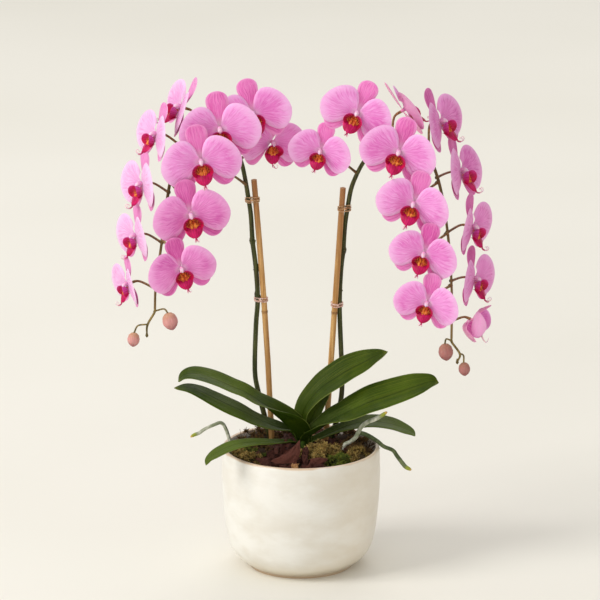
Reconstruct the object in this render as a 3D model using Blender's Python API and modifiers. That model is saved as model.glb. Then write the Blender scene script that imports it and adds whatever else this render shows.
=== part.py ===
"""A potted moth orchid: two arching flower spikes on bamboo stakes, strap leaves and a glazed pot.

The frame has +Z up and its origin at the centre of the pot's foot. The plant's front faces -Y.
The tables of points are in millimetres, and everything else is in metres.
"""

import math
import random

import bmesh
import bpy
from mathutils import Matrix, Vector

MM = 0.001
GAP = 0.3 * MM  # clearance between pieces that touch on the real plant

# The pot is turned about Z from these (radius, height) points in mm: its outside from the middle of
# its flat foot to the rim, and its hollow from the rim down to the floor.
POT_OUTSIDE = [
    (0, 0), (57.5, 0), (58.5, 3), (64.5, 7), (72.5, 14), (79.5, 26),
    (83.5, 45), (86.3, 72), (88, 104), (87.2, 133), (85.4, 136),
]
POT_INSIDE = [(82.6, 135.2), (82.8, 104), (80.4, 62), (74, 28), (62, 13.5), (0, 8)]
POT_STEPS = 26

# The potting bark fills the pot's hollow, a clearance away from it. Chips and moss stand out of it.
BARK_CLEARANCE = 0.4 * MM
BARK_EDGE_HEIGHT = 123 * MM
BARK_CROWN_HEIGHT = 128 * MM
BARK_SHOULDER = (60 * MM, 126.5 * MM)
BARK_CHIP_COUNT = 10
BARK_CHIP_RING = 74 * MM
BARK_CHIP_SINK = 0.5 * MM
BARK_CHIP_TAPER = 0.45
CHIP_LENGTHS = (17 * MM, 27 * MM)
CHIP_WIDTHS = (9 * MM, 14 * MM)
CHIP_THICKNESSES = (3.5 * MM, 5 * MM)
CHIP_TILTS = (-38, -12)
BARK_SEED = 11
MOSS_MOUNDS = [  # centre and radii in mm
    ((43, -20, 124), (31, 33, 12)),
    ((-52, -38, 124), (17, 15, 8)),
    ((-42, 34, 125), (24, 18, 10)),
]
MOSS_ROUGHNESS = (0.88, 1.08)
HOLE_GAP = 0.4 * MM
HOLE_TOP = 150 * MM

# The largest flowers are this wide, and the other lengths of a flower go with it.
BLOOM_WIDTH = 87 * MM
PETAL_REACH = BLOOM_WIDTH / 2
PETAL_LOW_ANGLE = -52.0
PETAL_HIGH_ANGLE = 86.0
PETAL_PEAK = -0.26  # where the petal reaches furthest, from -1 at its lower edge to 1 at its upper
PETAL_UPPER_FALL = ((0.42, 1.2), (0.12, 8))  # amounts and powers of the margin's fall from that peak
PETAL_LOWER_FALL = ((0.2, 1.8), (0.28, 8))
PETAL_BULGE = 3.2 * MM
PETAL_SWEEP = 8.0  # how far the petals lean forward, in degrees
PETAL_ROOT = 0.8 * MM  # half the distance between the two petals' roots
SEPAL_LENGTH = 0.46 * BLOOM_WIDTH
SEPAL_WIDTH = 0.264 * BLOOM_WIDTH
LATERAL_SEPAL_ANGLE = 125.0  # from the dorsal sepal
SEPAL_CUP = 4 * MM
DORSAL_LEAN = 3 * MM  # how far a sepal's tip lies behind its root
LATERAL_LEAN = -5 * MM
SEPAL_DEPTHS = (2.0 * MM, 2.4 * MM, 2.8 * MM)  # behind the petals: the dorsal and the two laterals
PETAL_THICKNESS = 0.9 * MM
HUB_BACK = 6 * MM
HUB_ROUTE = [(0, 6, 0), (0, -2.0, 0.4), (0, -8.5, -1.2)]  # in mm, from the pedicel to the column's tip
HUB_RADII = [2.2 * MM, 3.7 * MM, 2.4 * MM]
# The lip's sections from the claw at the column's foot to its tip, in mm: y, z, half-width, rise of
# the edges and how far they lean forward.
LIP_SECTIONS = [
    (-3.4, -3.95, 1.6, 0.4, 0.0),
    (-5.6, -9.5, 9.0, 8.5, 0.0),
    (-8.6, -13.5, 10.0, 9.5, 3.0),
    (-11.0, -16.0, 7.0, 3.0, 0.5),
    (-13.0, -18.5, 9.5, 2.0, 0.0),
    (-16.5, -26.5, 1.8, 0.6, 0.0),
]
HALF_OPEN_PETAL_CURL = 16 * MM  # radius of the cup that a half-open flower's petals make
HALF_OPEN_DORSAL_CURL = 35 * MM
HALF_OPEN_LATERAL_CURL = 34 * MM
HALF_OPEN_LATERAL_BELLY = 13 * MM  # how far the lateral sepals bag out behind the flower
HALF_OPEN_LATERAL_ANGLE = 140.0
HALF_OPEN_HOOD = 5 * MM
TENDRIL_ROUTE = [(0, -5, -1.5), (0, -16, -15), (0, -27, -25.5), (0, -31, -24), (0, -31, -17)]
TENDRIL_RADII = [2.0, 2.2, 1.2, 0.8, 0.5]
BUD_LENGTH = 21 * MM
BUD_WIDTH = 17 * MM
BUD_SECTIONS = ((0.0, 0.35), (0.2, 0.86), (0.5, 1.0), (0.78, 0.74), (1.0, 0.2))  # place, width
BUD_STEM_RADIUS = 1.35 * MM
BUD_STALK_RADIUS = 0.9 * MM

# Stems.
SPIKE_RADIUS = 2.7 * MM
PEDICEL_RADIUS = 1.3 * MM
STAKE_RADIUS = 3.2 * MM
TIE_THICKNESS = 1.2 * MM
TIE_WIDTH = 5 * MM
TIE_SLACK = 0.7 * MM
ROOT_RADIUS = 2.4 * MM
LEAF_THICKNESS = 2.0 * MM


def rgba(red, green, blue):
    return (red, green, blue, 1.0)


COLOURS = {
    "glaze": (rgba(0.80, 0.77, 0.70), 0.25),
    "bark": (rgba(0.13, 0.055, 0.035), 0.9),
    "leaf": (rgba(0.05, 0.12, 0.025), 0.4),
    "stem": (rgba(0.06, 0.09, 0.025), 0.5),
    "bamboo": (rgba(0.55, 0.34, 0.14), 0.55),
    "raffia": (rgba(0.62, 0.45, 0.28), 0.85),
    "petal": (rgba(0.80, 0.35, 0.68), 0.55),
    "lip": (rgba(0.50, 0.01, 0.15), 0.5),
    "bud": (rgba(0.48, 0.23, 0.22), 0.6),
    "root": (rgba(0.45, 0.52, 0.40), 0.7),
}

# Each spike is a curve through these points (x, y, z, radius factor), from its foot in the bark to
# its buds.
LEFT_SPIKE = [
    (-29.6, 34, 112, 1.15), (-37, 33, 146, 1.15), (-42, 31, 167, 1.1), (-47.5, 29.5, 190, 1.05),
    (-51.2, 28.5, 215, 1.0), (-49.8, 28, 267, 1.0), (-47.8, 28, 296, 1.0), (-49.5, 28, 330, 1.0),
    (-52.9, 27.5, 359, 1.0), (-53.4, 27.5, 364, 1.4), (-53.6, 27.5, 366, 1.0), (-55.2, 27, 394, 0.95),
    (-58.4, 25.5, 417, 0.95), (-61, 23, 434, 0.9), (-65, 19, 454, 0.9), (-73, 14, 475, 0.85),
    (-85, 9, 493, 0.8), (-103, 3, 499, 0.75), (-122, -3, 488, 0.7), (-135, -8, 466, 0.65),
    (-143, -13, 437, 0.65), (-148, -17, 404, 0.6), (-152, -20, 373, 0.55), (-156, -23, 346, 0.55),
    (-159, -25, 322, 0.5), (-159.7, -26, 301, 0.5),
]
RIGHT_SPIKE = [
    (26.5, 32.5, 112, 1.15), (34.8, 31.5, 140, 1.15), (40.3, 30, 158, 1.1), (45.2, 28, 186, 1.05),
    (45.6, 28, 213, 1.0), (43.4, 28, 267, 1.0), (42.8, 28, 296, 1.0), (44.2, 28, 330, 1.0),
    (46.4, 28, 349, 1.0), (46.8, 28, 354, 1.4), (47, 28, 356, 1.0), (48.6, 27, 382, 0.95),
    (51.9, 26, 405, 0.95), (55, 24, 423, 0.95), (60, 20, 438, 0.9), (68, 15, 455, 0.85),
    (81, 10, 473, 0.8), (98, 4, 485, 0.75), (117.5, -2, 487, 0.7), (135, -7, 474, 0.7),
    (146, -11, 453, 0.65), (153.6, -14, 426, 0.6), (159, -17, 393, 0.55), (162.7, -19, 360, 0.55),
    (164.6, -21, 329, 0.5), (165.3, -22, 304, 0.5), (165.2, -23, 266, 0.5),
]

# Stakes run through these points (x, y, z), from their foot in the bark; the left one bows a little.
LEFT_STAKE = [
    (-28.5, 25, 30), (-32.3, 25.5, 130), (-33.8, 25.7, 165), (-36.7, 26, 227), (-40.9, 27, 296),
    (-45.9, 27.5, 364), (-51.6, 28, 433),
]
RIGHT_STAKE = [(20.8, 23, 30), (27.2, 23, 130), (37.6, 23, 292), (46.2, 23, 425)]
STAKE_KNOTS = (158, 283)  # heights of the bamboo's rings
STAKE_KNOT_SWELL = 1.17
TIE_HEIGHTS = {"left": (297, 411), "right": (292, 402)}

# A bloom's row: its name, centre (x, y, z), yaw to its own left, pitch upward, roll clockwise, its
# share of BLOOM_WIDTH, and where its pedicel leaves the spike: on its rising or falling stretch or at
# its top, and at which height.
LEFT_BLOOMS = [
    ("left_1", (-32, 24, 476.4), 24, -6, 8, 0.90, "rise", 458),
    ("left_2", (-52, -2, 514.4), 3, 4, -13, 0.96, "rise", 482),
    ("left_3", (-87.5, -33, 504), 2, 2, -6, 1.02, "fall", 489),
    ("left_4", (-107.5, -56, 474), 2, -2, -10, 1.00, "rise", 428),
    ("left_5", (-119, -67, 417.4), 9, -4, -11, 0.97, "fall", 440),
    ("left_6", (-129.5, -77, 360), 13, -4, -15, 0.87, "fall", 378),
    ("left_7", (-131, 34, 513.3), -76, 19, 11, 0.93, "fall", 496),
    ("left_8", (-157.6, 7, 489.2), -65, 10, 0, 0.89, "fall", 477),
    ("left_9", (-173.4, 10, 432.7), -62, 0, -7, 0.94, "fall", 429),
    ("left_10", (-180.8, 6, 375.5), -62, -3, -6, 0.88, "fall", 374),
    ("left_11", (-190, 2, 321.9), -65, -10, -2, 0.79, "fall", 323),
]
RIGHT_BLOOMS = [
    ("right_1", (21.5, -8, 474), -10, -2, 14, 0.80, "rise", 442),
    ("right_2", (61, -18, 518.5), -8, 4, 24, 0.93, "rise", 476),
    ("right_3", (106, -34, 479), -8, 0, 15, 0.97, "fall", 481),
    ("right_4", (122, -46, 424.5), -10, -3, 16, 0.93, "fall", 440),
    ("right_5", (133.5, -56, 371), -11, -3, 15, 0.87, "fall", 384),
    ("right_6", (137, -64, 318), -12, -3, 12, 0.83, "fall", 326),
    ("right_7", (113.8, 48, 507.4), 103, 28, 2, 0.94, "top", 485),
    ("right_8", (151.7, 18, 500.6), 65, 15, -4, 0.98, "fall", 468),
    ("right_9", (174.5, 14, 446.4), 67, 12, 6, 1.00, "fall", 445),
    ("right_10", (187.7, 10, 384.8), 64, -3, 0, 0.92, "fall", 385),
    ("right_11", (190.5, 6, 326.8), 62, 0, 2, 0.91, "fall", 331),
]
HALF_OPEN_BLOOM = ("right_12", (190, -4, 281.7), 74, -18, 0, 0.72, "fall", 286)

# The end of each spike: its stem, and for each bud its stalk, its tip and its share of a full size.
LEFT_BUD_STEM = [(-159.7, -26, 300.7), (-160.5, -26, 296), (-168.1, -26, 282.3), (-168.8, -26, 270.9)]
LEFT_BUDS = [
    ([(-160.2, -26, 298), (-150, -26, 300.5), (-145.8, -26, 296)], (-140.2, -26, 276), 1.0),
    ([(-168.1, -26, 283), (-178.5, -26, 281.5), (-182.8, -26, 273.5)], (-184.3, -26, 257), 0.8),
]
RIGHT_BUD_STEM = [(165.2, -23, 265.7), (165.4, -23, 262), (174.6, -23, 248.4), (171.8, -23, 239.5)]
RIGHT_BUDS = [
    ([(165.3, -23, 263.5), (159.5, -23, 265.5), (158.0, -23, 260)], (160.4, -23, 240), 0.96),
    ([(174.6, -23, 249), (178.6, -23, 246.5), (178.9, -23, 238.5)], (180.4, -23, 224), 0.76),
]


def clear_scene():
    for obj in list(bpy.data.objects):
        bpy.data.objects.remove(obj, do_unlink=True)


def new_collection(name):
    collection = bpy.data.collections.new(name)
    bpy.context.scene.collection.children.link(collection)
    return collection


def make_material(name):
    colour, roughness = COLOURS[name]
    material = bpy.data.materials.new(name)
    material.use_nodes = True
    shader = material.node_tree.nodes["Principled BSDF"]
    shader.inputs["Base Color"].default_value = colour
    shader.inputs["Roughness"].default_value = roughness
    shader.inputs["Metallic"].default_value = 0.0
    material.diffuse_color = colour
    return material


def mesh_object(name, mesh, collection):
    obj = bpy.data.objects.new(name, mesh)
    collection.objects.link(obj)
    return obj


def finish(obj, material):
    """Gives a piece its material and smooth shading with sharp edges kept."""
    obj.data.materials.clear()
    obj.data.materials.append(MATERIALS[material])
    obj.data.shade_smooth()
    obj.data.set_sharp_from_angle(angle=math.radians(40))
    return obj


def applied_mesh(obj):
    """The object's mesh as the viewport evaluates it."""
    bpy.context.view_layer.update()
    graph = bpy.context.evaluated_depsgraph_get()
    return bpy.data.meshes.new_from_object(obj.evaluated_get(graph))


def boolean(obj, others, operation):
    """Joins the other objects to obj, or cuts them from it, in one Boolean, and removes them."""
    tools = new_collection(obj.name + "_tools")
    for other in others:
        for holder in list(other.users_collection):
            holder.objects.unlink(other)
        tools.objects.link(other)
    modifier = obj.modifiers.new("Join", "BOOLEAN")
    modifier.operation = operation
    modifier.operand_type = "COLLECTION"
    modifier.collection = tools
    modifier.solver = "EXACT"
    mesh = applied_mesh(obj)
    obj.modifiers.clear()
    obj.data = mesh
    for other in others:
        bpy.data.objects.remove(other, do_unlink=True)
    bpy.data.collections.remove(tools)
    return obj


def sheet(name, rows, columns, thickness, place):
    """A blade: a grid whose point at s (0 to 1 along) and t (-1 to 1 across) goes to place(s, t).

    It is made solid, and an end whose points all fall together is a point of the blade."""
    grid = bmesh.new()
    bmesh.ops.create_grid(grid, x_segments=rows, y_segments=columns, size=1.0)
    for vertex in grid.verts:
        vertex.co = place((vertex.co.x + 1) / 2, vertex.co.y)
    bmesh.ops.triangulate(grid, faces=grid.faces[:])
    bmesh.ops.remove_doubles(grid, verts=grid.verts[:], dist=0.01 * MM)
    mesh = bpy.data.meshes.new(name)
    grid.to_mesh(mesh)
    grid.free()
    obj = mesh_object(name, mesh, WORKSHOP)
    solidify = obj.modifiers.new("Thickness", "SOLIDIFY")
    solidify.thickness = thickness
    solidify.offset = 0.0
    return obj


def tube(name, points, radii, sides_step=1, cyclic=False):
    """A closed tube along the points with a radius at each: 4 sides, and 2 more for each sides_step."""
    curve = bpy.data.curves.new(name, "CURVE")
    curve.dimensions = "3D"
    curve.bevel_depth = 1.0
    curve.bevel_resolution = sides_step
    curve.use_fill_caps = not cyclic
    spline = curve.splines.new("POLY")
    spline.points.add(len(points) - 1)
    spline.use_cyclic_u = cyclic
    for control, point, radius in zip(spline.points, points, radii):
        control.co = (*point, 1.0)
        control.radius = radius
    holder = mesh_object(name + "_curve", curve, WORKSHOP)
    mesh = applied_mesh(holder)
    bpy.data.objects.remove(holder, do_unlink=True)
    welded = bmesh.new()
    welded.from_mesh(mesh)
    bmesh.ops.remove_doubles(welded, verts=welded.verts[:], dist=0.001 * MM)
    bmesh.ops.recalc_face_normals(welded, faces=welded.faces[:])
    welded.to_mesh(mesh)
    welded.free()
    return mesh_object(name, mesh, WORKSHOP)


def turned(name, profile, steps):
    """A solid of revolution: a closed profile of (radius, height) points turned about Z."""
    outline = bmesh.new()
    vertices = [outline.verts.new((radius, 0.0, height)) for radius, height in profile]
    for first, second in zip(vertices, vertices[1:]):
        outline.edges.new((first, second))
    mesh = bpy.data.meshes.new(name)
    outline.to_mesh(mesh)
    outline.free()
    obj = mesh_object(name, mesh, WORKSHOP)
    screw = obj.modifiers.new("Turn", "SCREW")
    screw.axis = "Z"
    screw.steps = steps
    screw.render_steps = steps
    screw.use_merge_vertices = True
    screw.merge_threshold = 0.00005
    obj.data = applied_mesh(obj)
    obj.modifiers.clear()
    return obj


def catmull(points, per_span):
    """Points on a smooth curve through the given vectors, per_span of them for each span."""
    padded = [2 * points[0] - points[1], *points, 2 * points[-1] - points[-2]]
    found = []
    for index in range(1, len(padded) - 2):
        before, start, end, after = padded[index - 1 : index + 3]
        for step in range(per_span):
            u = step / per_span
            found.append(
                0.5
                * (
                    2 * start
                    + (end - before) * u
                    + (2 * before - 5 * start + 4 * end - after) * u**2
                    + (3 * start - before - 3 * end + after) * u**3
                )
            )
    found.append(points[-1].copy())
    return found


def bezier(start, start_pull, end_pull, end, count):
    """Points on the cubic curve from start to end, count spans of them."""
    found = []
    for step in range(count + 1):
        u = step / count
        found.append(
            (1 - u) ** 3 * start
            + 3 * u * (1 - u) ** 2 * start_pull
            + 3 * u * u * (1 - u) * end_pull
            + u**3 * end
        )
    return found


def in_mm(values):
    return Vector(values) * MM


# Flowers. A flower's own frame has its face to -Y, +Z to its dorsal sepal and its origin where the
# petals meet.


def petal_reach(across):
    """How far the petal's margin is from the flower's centre, from its lower to its upper edge."""
    if across > PETAL_PEAK:
        share, fall = (across - PETAL_PEAK) / (1 - PETAL_PEAK), PETAL_UPPER_FALL
    else:
        share, fall = (PETAL_PEAK - across) / (1 + PETAL_PEAK), PETAL_LOWER_FALL
    return PETAL_REACH * (1 - sum(amount * share**power for amount, power in fall))


def petal_spot(along, across):
    """A point of the petal laid flat: how far out from the flower's middle line, and how high."""
    angle = math.radians(PETAL_LOW_ANGLE + (PETAL_HIGH_ANGLE - PETAL_LOW_ANGLE) * (across + 1) / 2)
    reach = petal_reach(across) * along
    return reach * math.cos(angle), reach * math.sin(angle)


def petal(side):
    """A broad petal that fans out from the centre, to the flower's right for side 1, left for -1."""

    def place(along, across):
        out, up = petal_spot(along, across)
        bulge = PETAL_BULGE * (math.sin(math.pi * 0.85 * along) - 0.75 * across * across * along)
        sweep = out * math.tan(math.radians(PETAL_SWEEP))
        return Vector(((out + PETAL_ROOT) * side, -bulge - sweep, up))

    return sheet("petal", 2, 7, PETAL_THICKNESS, place)


def sepal_half_width(along):
    """Half the sepal's width from its narrow root to its rounded tip."""
    return SEPAL_WIDTH / 2 * 1.75 * along**0.9 * (1 - along**3.6) ** 0.55


def sepal(angle, depth, lean):
    """A sepal with its root at a depth behind the petals and its tip a lean further back.

    The angle turns it from the dorsal one, clockwise seen from the front."""
    turn = Matrix.Rotation(math.radians(angle), 3, "Y")

    def place(along, across):
        stretch = 1 - (1 - along) ** 1.7
        half = sepal_half_width(stretch) * across
        behind = depth + lean * stretch + SEPAL_CUP * across * across * stretch * (1 - stretch)
        return turn @ Vector((half, behind, SEPAL_LENGTH * stretch))

    return sheet("sepal", 3, 2, PETAL_THICKNESS, place)


def hub_and_column(name):
    """The receptacle where the pedicel meets the flower, and the short column in front of it."""
    return tube(name, [in_mm(p) for p in HUB_ROUTE], HUB_RADII, 0)


def bloom_mesh():
    """Two petals, three sepals and the column of an open flower, in one body."""
    body = hub_and_column("bloom")
    dorsal, right, left = SEPAL_DEPTHS
    blades = [petal(1), petal(-1), sepal(0, dorsal, DORSAL_LEAN)]
    blades.append(sepal(LATERAL_SEPAL_ANGLE, right, LATERAL_LEAN))
    blades.append(sepal(-LATERAL_SEPAL_ANGLE, left, LATERAL_LEAN))
    return boolean(body, blades, "UNION")


def lip_row(along):
    """The lip's section at a share of its length, in metres."""
    spot = along * (len(LIP_SECTIONS) - 1)
    index = min(int(spot), len(LIP_SECTIONS) - 2)
    low, high = LIP_SECTIONS[index], LIP_SECTIONS[index + 1]
    return [MM * (first + (second - first) * (spot - index)) for first, second in zip(low, high)]


def lip_mesh():
    """The lip: a scoop whose side lobes rise beside the column, with a pointed mid lobe in front."""

    def place(along, across):
        y, z, half, rise, lean = lip_row(along)
        bend = across * math.pi / 2
        out, lift = half * math.sin(bend), rise * (1 - math.cos(bend))
        return Vector((out, y - lean * across * across, z + lift))

    lip = sheet("lip", len(LIP_SECTIONS) - 1, 4, PETAL_THICKNESS, place)
    lip.data = applied_mesh(lip)
    return lip


def curl(length, radius):
    """Where a length wound on a round form ends: how far out and how far forward."""
    return radius * math.sin(length / radius), radius * (1 - math.cos(length / radius))


def cupped_petal(side):
    """A half-open flower's petal, curled forward round the lip."""

    def place(along, across):
        out, up = petal_spot(along, across)
        out, forward = curl(0.8 * out, HALF_OPEN_PETAL_CURL)
        return Vector(((out + PETAL_ROOT) * side, -forward, 0.75 * up))

    return sheet("petal", 3, 6, PETAL_THICKNESS, place)


def cupped_sepal(angle, depth, radius, belly):
    """A half-open flower's sepal, hooded over the petals; its belly bags out behind them."""
    turn = Matrix.Rotation(math.radians(angle), 3, "Y")

    def place(along, across):
        half = sepal_half_width(along) * across
        out, forward = curl(SEPAL_LENGTH * along, radius)
        swell = math.sin(math.pi * along)
        behind = depth - forward + belly * swell - HALF_OPEN_HOOD * across * across * swell
        return turn @ Vector((half, behind, out))

    return sheet("sepal", 4, 2, PETAL_THICKNESS, place)


def half_open_mesh():
    """A flower that is still opening: petals curled round its lip, with the sepals over them."""
    body = hub_and_column("half_open")
    dorsal, right, left = SEPAL_DEPTHS
    blades = [cupped_petal(1), cupped_petal(-1), cupped_sepal(0, dorsal, HALF_OPEN_DORSAL_CURL, 0)]
    for angle, depth in ((HALF_OPEN_LATERAL_ANGLE, right), (-HALF_OPEN_LATERAL_ANGLE, left)):
        blades.append(cupped_sepal(angle, depth, HALF_OPEN_LATERAL_CURL, HALF_OPEN_LATERAL_BELLY))
    route = [in_mm(p) for p in TENDRIL_ROUTE]
    blades.append(tube("tendril", route, [radius * MM for radius in TENDRIL_RADII], 0))
    return boolean(body, blades, "UNION")


def bloom_matrix(row):
    """Where a flower stands, from its row's centre, angles and size."""
    _, centre, yaw, pitch, roll, size, _, _ = row
    turn = Matrix.Rotation(math.radians(yaw), 4, "Z")
    lift = Matrix.Rotation(math.radians(-pitch), 4, "X")
    spin = Matrix.Rotation(math.radians(roll), 4, "Y")
    return Matrix.Translation(in_mm(centre)) @ turn @ lift @ spin @ Matrix.Scale(size, 4)


def place_copy(name, mesh, matrix, material):
    obj = mesh_object(name, mesh, PLANT)
    obj.matrix_world = matrix
    return finish(obj, material)


def make_blooms():
    bloom, lip, half_open = bloom_mesh(), lip_mesh(), half_open_mesh()
    for row in LEFT_BLOOMS + RIGHT_BLOOMS:
        matrix = bloom_matrix(row)
        place_copy("bloom_" + row[0], bloom.data, matrix, "petal")
        place_copy("lip_" + row[0], lip.data, matrix, "lip")
    half_open_at = bloom_matrix(HALF_OPEN_BLOOM)
    place_copy("half_open_" + HALF_OPEN_BLOOM[0], half_open.data, half_open_at, "petal")
    for sample in (bloom, lip, half_open):
        bpy.data.objects.remove(sample, do_unlink=True)


# Spikes: the flower stems, with a pedicel to each bloom.


def spike_curve(route):
    """Smooth points and radii along a spike, with its ringed joints."""
    points = catmull([in_mm(p[:3]) for p in route], 1)
    radii = [SPIKE_RADIUS * p[3] for p in route]
    return points, radii


def pedicel_start(points, part, height):
    """The spike's point at that height, on its rising or falling stretch, or its highest point."""
    peak = max(range(len(points)), key=lambda i: points[i].z)
    if part == "top":
        return min(points[peak - 2 : peak + 3], key=lambda p: abs(p.z - height * MM))
    stretch = points[: peak + 1] if part == "rise" else points[peak:]
    for first, second in zip(stretch, stretch[1:]):
        low, high = sorted((first.z, second.z))
        if low <= height * MM <= high:
            return first.lerp(second, (height * MM - first.z) / (second.z - first.z))
    return min(stretch, key=lambda p: abs(p.z - height * MM))


def pedicel(row, points):
    """The stalk from the spike to the back of a bloom's hub, which it meets squarely."""
    start = pedicel_start(points, row[6], row[7])
    matrix = bloom_matrix(row)
    size = row[5]
    end = matrix @ Vector((0, HUB_BACK + GAP / size, 0))
    back = (matrix.to_3x3() @ Vector((0, 1, 0))).normalized()
    reach = (end - start).length
    lift = start + (end - start) * 0.3 + Vector((0, 0, 0.12 * reach))
    bend = end + back * 5 * MM
    route = [*bezier(start, lift, bend + back * 0.15 * reach, bend, 2), end]
    radii = [PEDICEL_RADIUS * factor for factor in (1.25, 1.0, 1.0, 1.2)]
    return tube("pedicel", route, radii, 0)


def make_spike(name, route, rows):
    points, radii = spike_curve(route)
    body = tube(name, points, radii)
    stalks = [pedicel(row, points) for row in rows]
    return keep(boolean(body, stalks, "UNION"), name, "stem")


def keep(obj, name, material):
    """Moves a finished piece from the workshop to the plant under its node's name."""
    WORKSHOP.objects.unlink(obj)
    PLANT.objects.link(obj)
    obj.name = name
    return finish(obj, material)


# The end of each spike: two closed buds and the growing tip.


def bud(name, top, bottom, length, width):
    """A closed bud: a pointed egg hanging from its stalk."""
    axis = (bottom - top).normalized()
    points = [top + axis * length * share for share, _ in BUD_SECTIONS]
    return tube(name, points, [width / 2 * wide for _, wide in BUD_SECTIONS])


def make_bud_cluster(name, stem, buds):
    """The end of a spike: its tapering stem, and the stalk and closed bud at each joint."""
    radii = [BUD_STEM_RADIUS] * (len(stem) - 1) + [0.6 * BUD_STEM_RADIUS]
    body = tube(name, [in_mm(p) for p in stem], radii)
    pieces = []
    for stalk, tip, scale in buds:
        points = [in_mm(p) for p in stalk]
        pieces.append(tube("stalk", points, [BUD_STALK_RADIUS] * len(points), 0))
        top = points[-1] + (points[-1] - in_mm(tip)).normalized() * 0.5 * MM
        pieces.append(bud("bud", top, in_mm(tip), BUD_LENGTH * scale, BUD_WIDTH * scale))
    return keep(boolean(body, pieces, "UNION"), name, "bud")


# Stakes and the twine that ties each spike to its stake.


def stake_radius(point):
    """The stake's radius there: it swells at each of the bamboo's rings."""
    on_ring = min(abs(point.z - knot * MM) for knot in STAKE_KNOTS) < MM
    return STAKE_RADIUS * (STAKE_KNOT_SWELL if on_ring else 1.0)


def make_stake(name, route):
    ends = [in_mm(p) for p in route]
    rings = [at_height(ends, (knot + rise) * MM) for knot in STAKE_KNOTS for rise in (-3, 0, 2)]
    points = sorted(ends + rings, key=lambda point: point.z)
    return keep(tube(name, points, [stake_radius(point) for point in points]), name, "bamboo")


def at_height(points, height):
    """The point at that height on a line of points that rises."""
    for first, second in zip(points, points[1:]):
        if first.z <= height <= second.z:
            return first.lerp(second, (height - first.z) / (second.z - first.z))
    raise ValueError("the curve doesn't reach that height")


def make_tie(name, spike_route, stake, height):
    """The raffia round a stem and its stake: a flat band that follows both."""
    spike_points, _ = spike_curve(spike_route)
    spike_at = at_height(spike_points, height * MM)
    stake_at = at_height([in_mm(p) for p in stake], height * MM)
    along = (stake_at - spike_at).normalized()
    side = Vector((-along.y, along.x, 0))
    corner = 1 / math.cos(math.radians(30))
    loop = []
    for centre, radius, start in ((stake_at, STAKE_RADIUS, -90), (spike_at, SPIKE_RADIUS, 90)):
        for step in range(4):
            angle = math.radians(start + 60 * step)
            reach = (radius + TIE_SLACK) * (1.0 if step in (0, 3) else corner)
            loop.append(centre + (along * math.cos(angle) + side * math.sin(angle)) * reach)
    band = bmesh.new()
    low = [band.verts.new(point - Vector((0, 0, TIE_WIDTH / 2))) for point in loop]
    high = [band.verts.new(point + Vector((0, 0, TIE_WIDTH / 2))) for point in loop]
    for index in range(len(loop)):
        after = (index + 1) % len(loop)
        band.faces.new((low[index], low[after], high[after], high[index]))
    mesh = bpy.data.meshes.new(name)
    band.to_mesh(mesh)
    band.free()
    tie = mesh_object(name, mesh, WORKSHOP)
    solidify = tie.modifiers.new("Thickness", "SOLIDIFY")
    solidify.thickness = TIE_THICKNESS
    solidify.offset = 1.0
    solidify.use_even_offset = True
    return keep(tie, name, "raffia")


# Leaves and roots.


def leaf_half_width(along, width):
    """Half a strap leaf's width: a narrow base, broad beyond the middle and a short blunt point."""
    swell = 0.42 + 0.58 * math.sin(math.pi / 2 * min(1.0, along / 0.6))
    return width / 2 * swell * (1 - along**3.6) ** 0.8


def leaf(name, route, width, roll_start, roll_end, channel):
    """A strap leaf along a route, rolled to show its upper face, with a channel along its midrib."""
    points = catmull([in_mm(p) for p in route], 8)
    last = len(points) - 1

    def place(along, across):
        along = 1 - (1 - along) ** 1.5
        spot = along * last
        index = min(int(spot), last - 1)
        centre = points[index].lerp(points[index + 1], spot - index)
        tangent = (points[index + 1] - points[index]).normalized()
        front = tangent.cross(Vector((0, 0, 1))).normalized()
        front *= -1 if front.y > 0 else 1
        up = front.cross(tangent)
        up *= -1 if up.z < 0 else 1
        roll = math.radians(roll_start + (roll_end - roll_start) * along)
        side = front * math.cos(roll) - up * math.sin(roll)
        normal = up * math.cos(roll) + front * math.sin(roll)
        half = leaf_half_width(along, width * MM)
        rise = channel * half * abs(across) ** 1.3 * (1 - 0.6 * along)
        return centre + side * half * across + normal * rise

    return sheet(name, 7, 2, LEAF_THICKNESS, place)


# A leaf's row: its midrib's points (x, y, z) in mm, its width in mm, its roll in degrees at its base
# and at its tip, and how deep its channel is over its half-width.
LEAVES = {
    "upper_left": (
        [
            (1, -2, 134), (-6, -9, 158), (-20, -13, 184), (-41, -15, 197), (-70, -15, 206),
            (-100, -15, 218), (-122, -15, 222), (-136, -15, 210),
        ],
        33, 34, 26, 0.35,
    ),
    "lower_left": (
        [
            (-4, 1, 134), (-18, 0, 149), (-42, -4, 160), (-68, -8, 176), (-94, -10, 192),
            (-118, -11, 205), (-139, -12, 206),
        ],
        30, 26, 24, 0.30,
    ),
    "front_left": (
        [
            (-4, -6, 134), (-20, -24, 148), (-42, -42, 156), (-66, -58, 157), (-88, -71, 149),
            (-104, -79, 136),
        ],
        22, 4, 8, 0.30,
    ),
    "upper_right": (
        [
            (3, 4, 134), (6, 5, 160), (18, 6, 188), (40, 6, 213), (64, 6, 231), (84, 6, 242),
            (97, 6, 242),
        ],
        38, 44, 34, 0.30,
    ),
    "inner_right": (
        [(5, 9, 134), (9, 13, 156), (19, 15, 176), (32, 15, 192)],
        20, 40, 40, 0.30,
    ),
    "lower_right": (
        [
            (5, 0, 134), (18, -6, 157), (45, -10, 180), (80, -11, 195), (114, -11, 207),
            (137, -11, 214), (151, -11, 212),
        ],
        39, 28, 32, 0.30,
    ),
    "back_right": (
        [
            (6, 4, 132), (24, 5, 139), (46, 4, 151), (70, 4, 160), (94, 4, 160), (114, 4, 153),
            (127, 4, 144),
        ],
        28, 22, 20, 0.30,
    ),
}
CROWN = [(-1, -1, 114), (-1, -1, 128), (0, 0, 142)]
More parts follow.
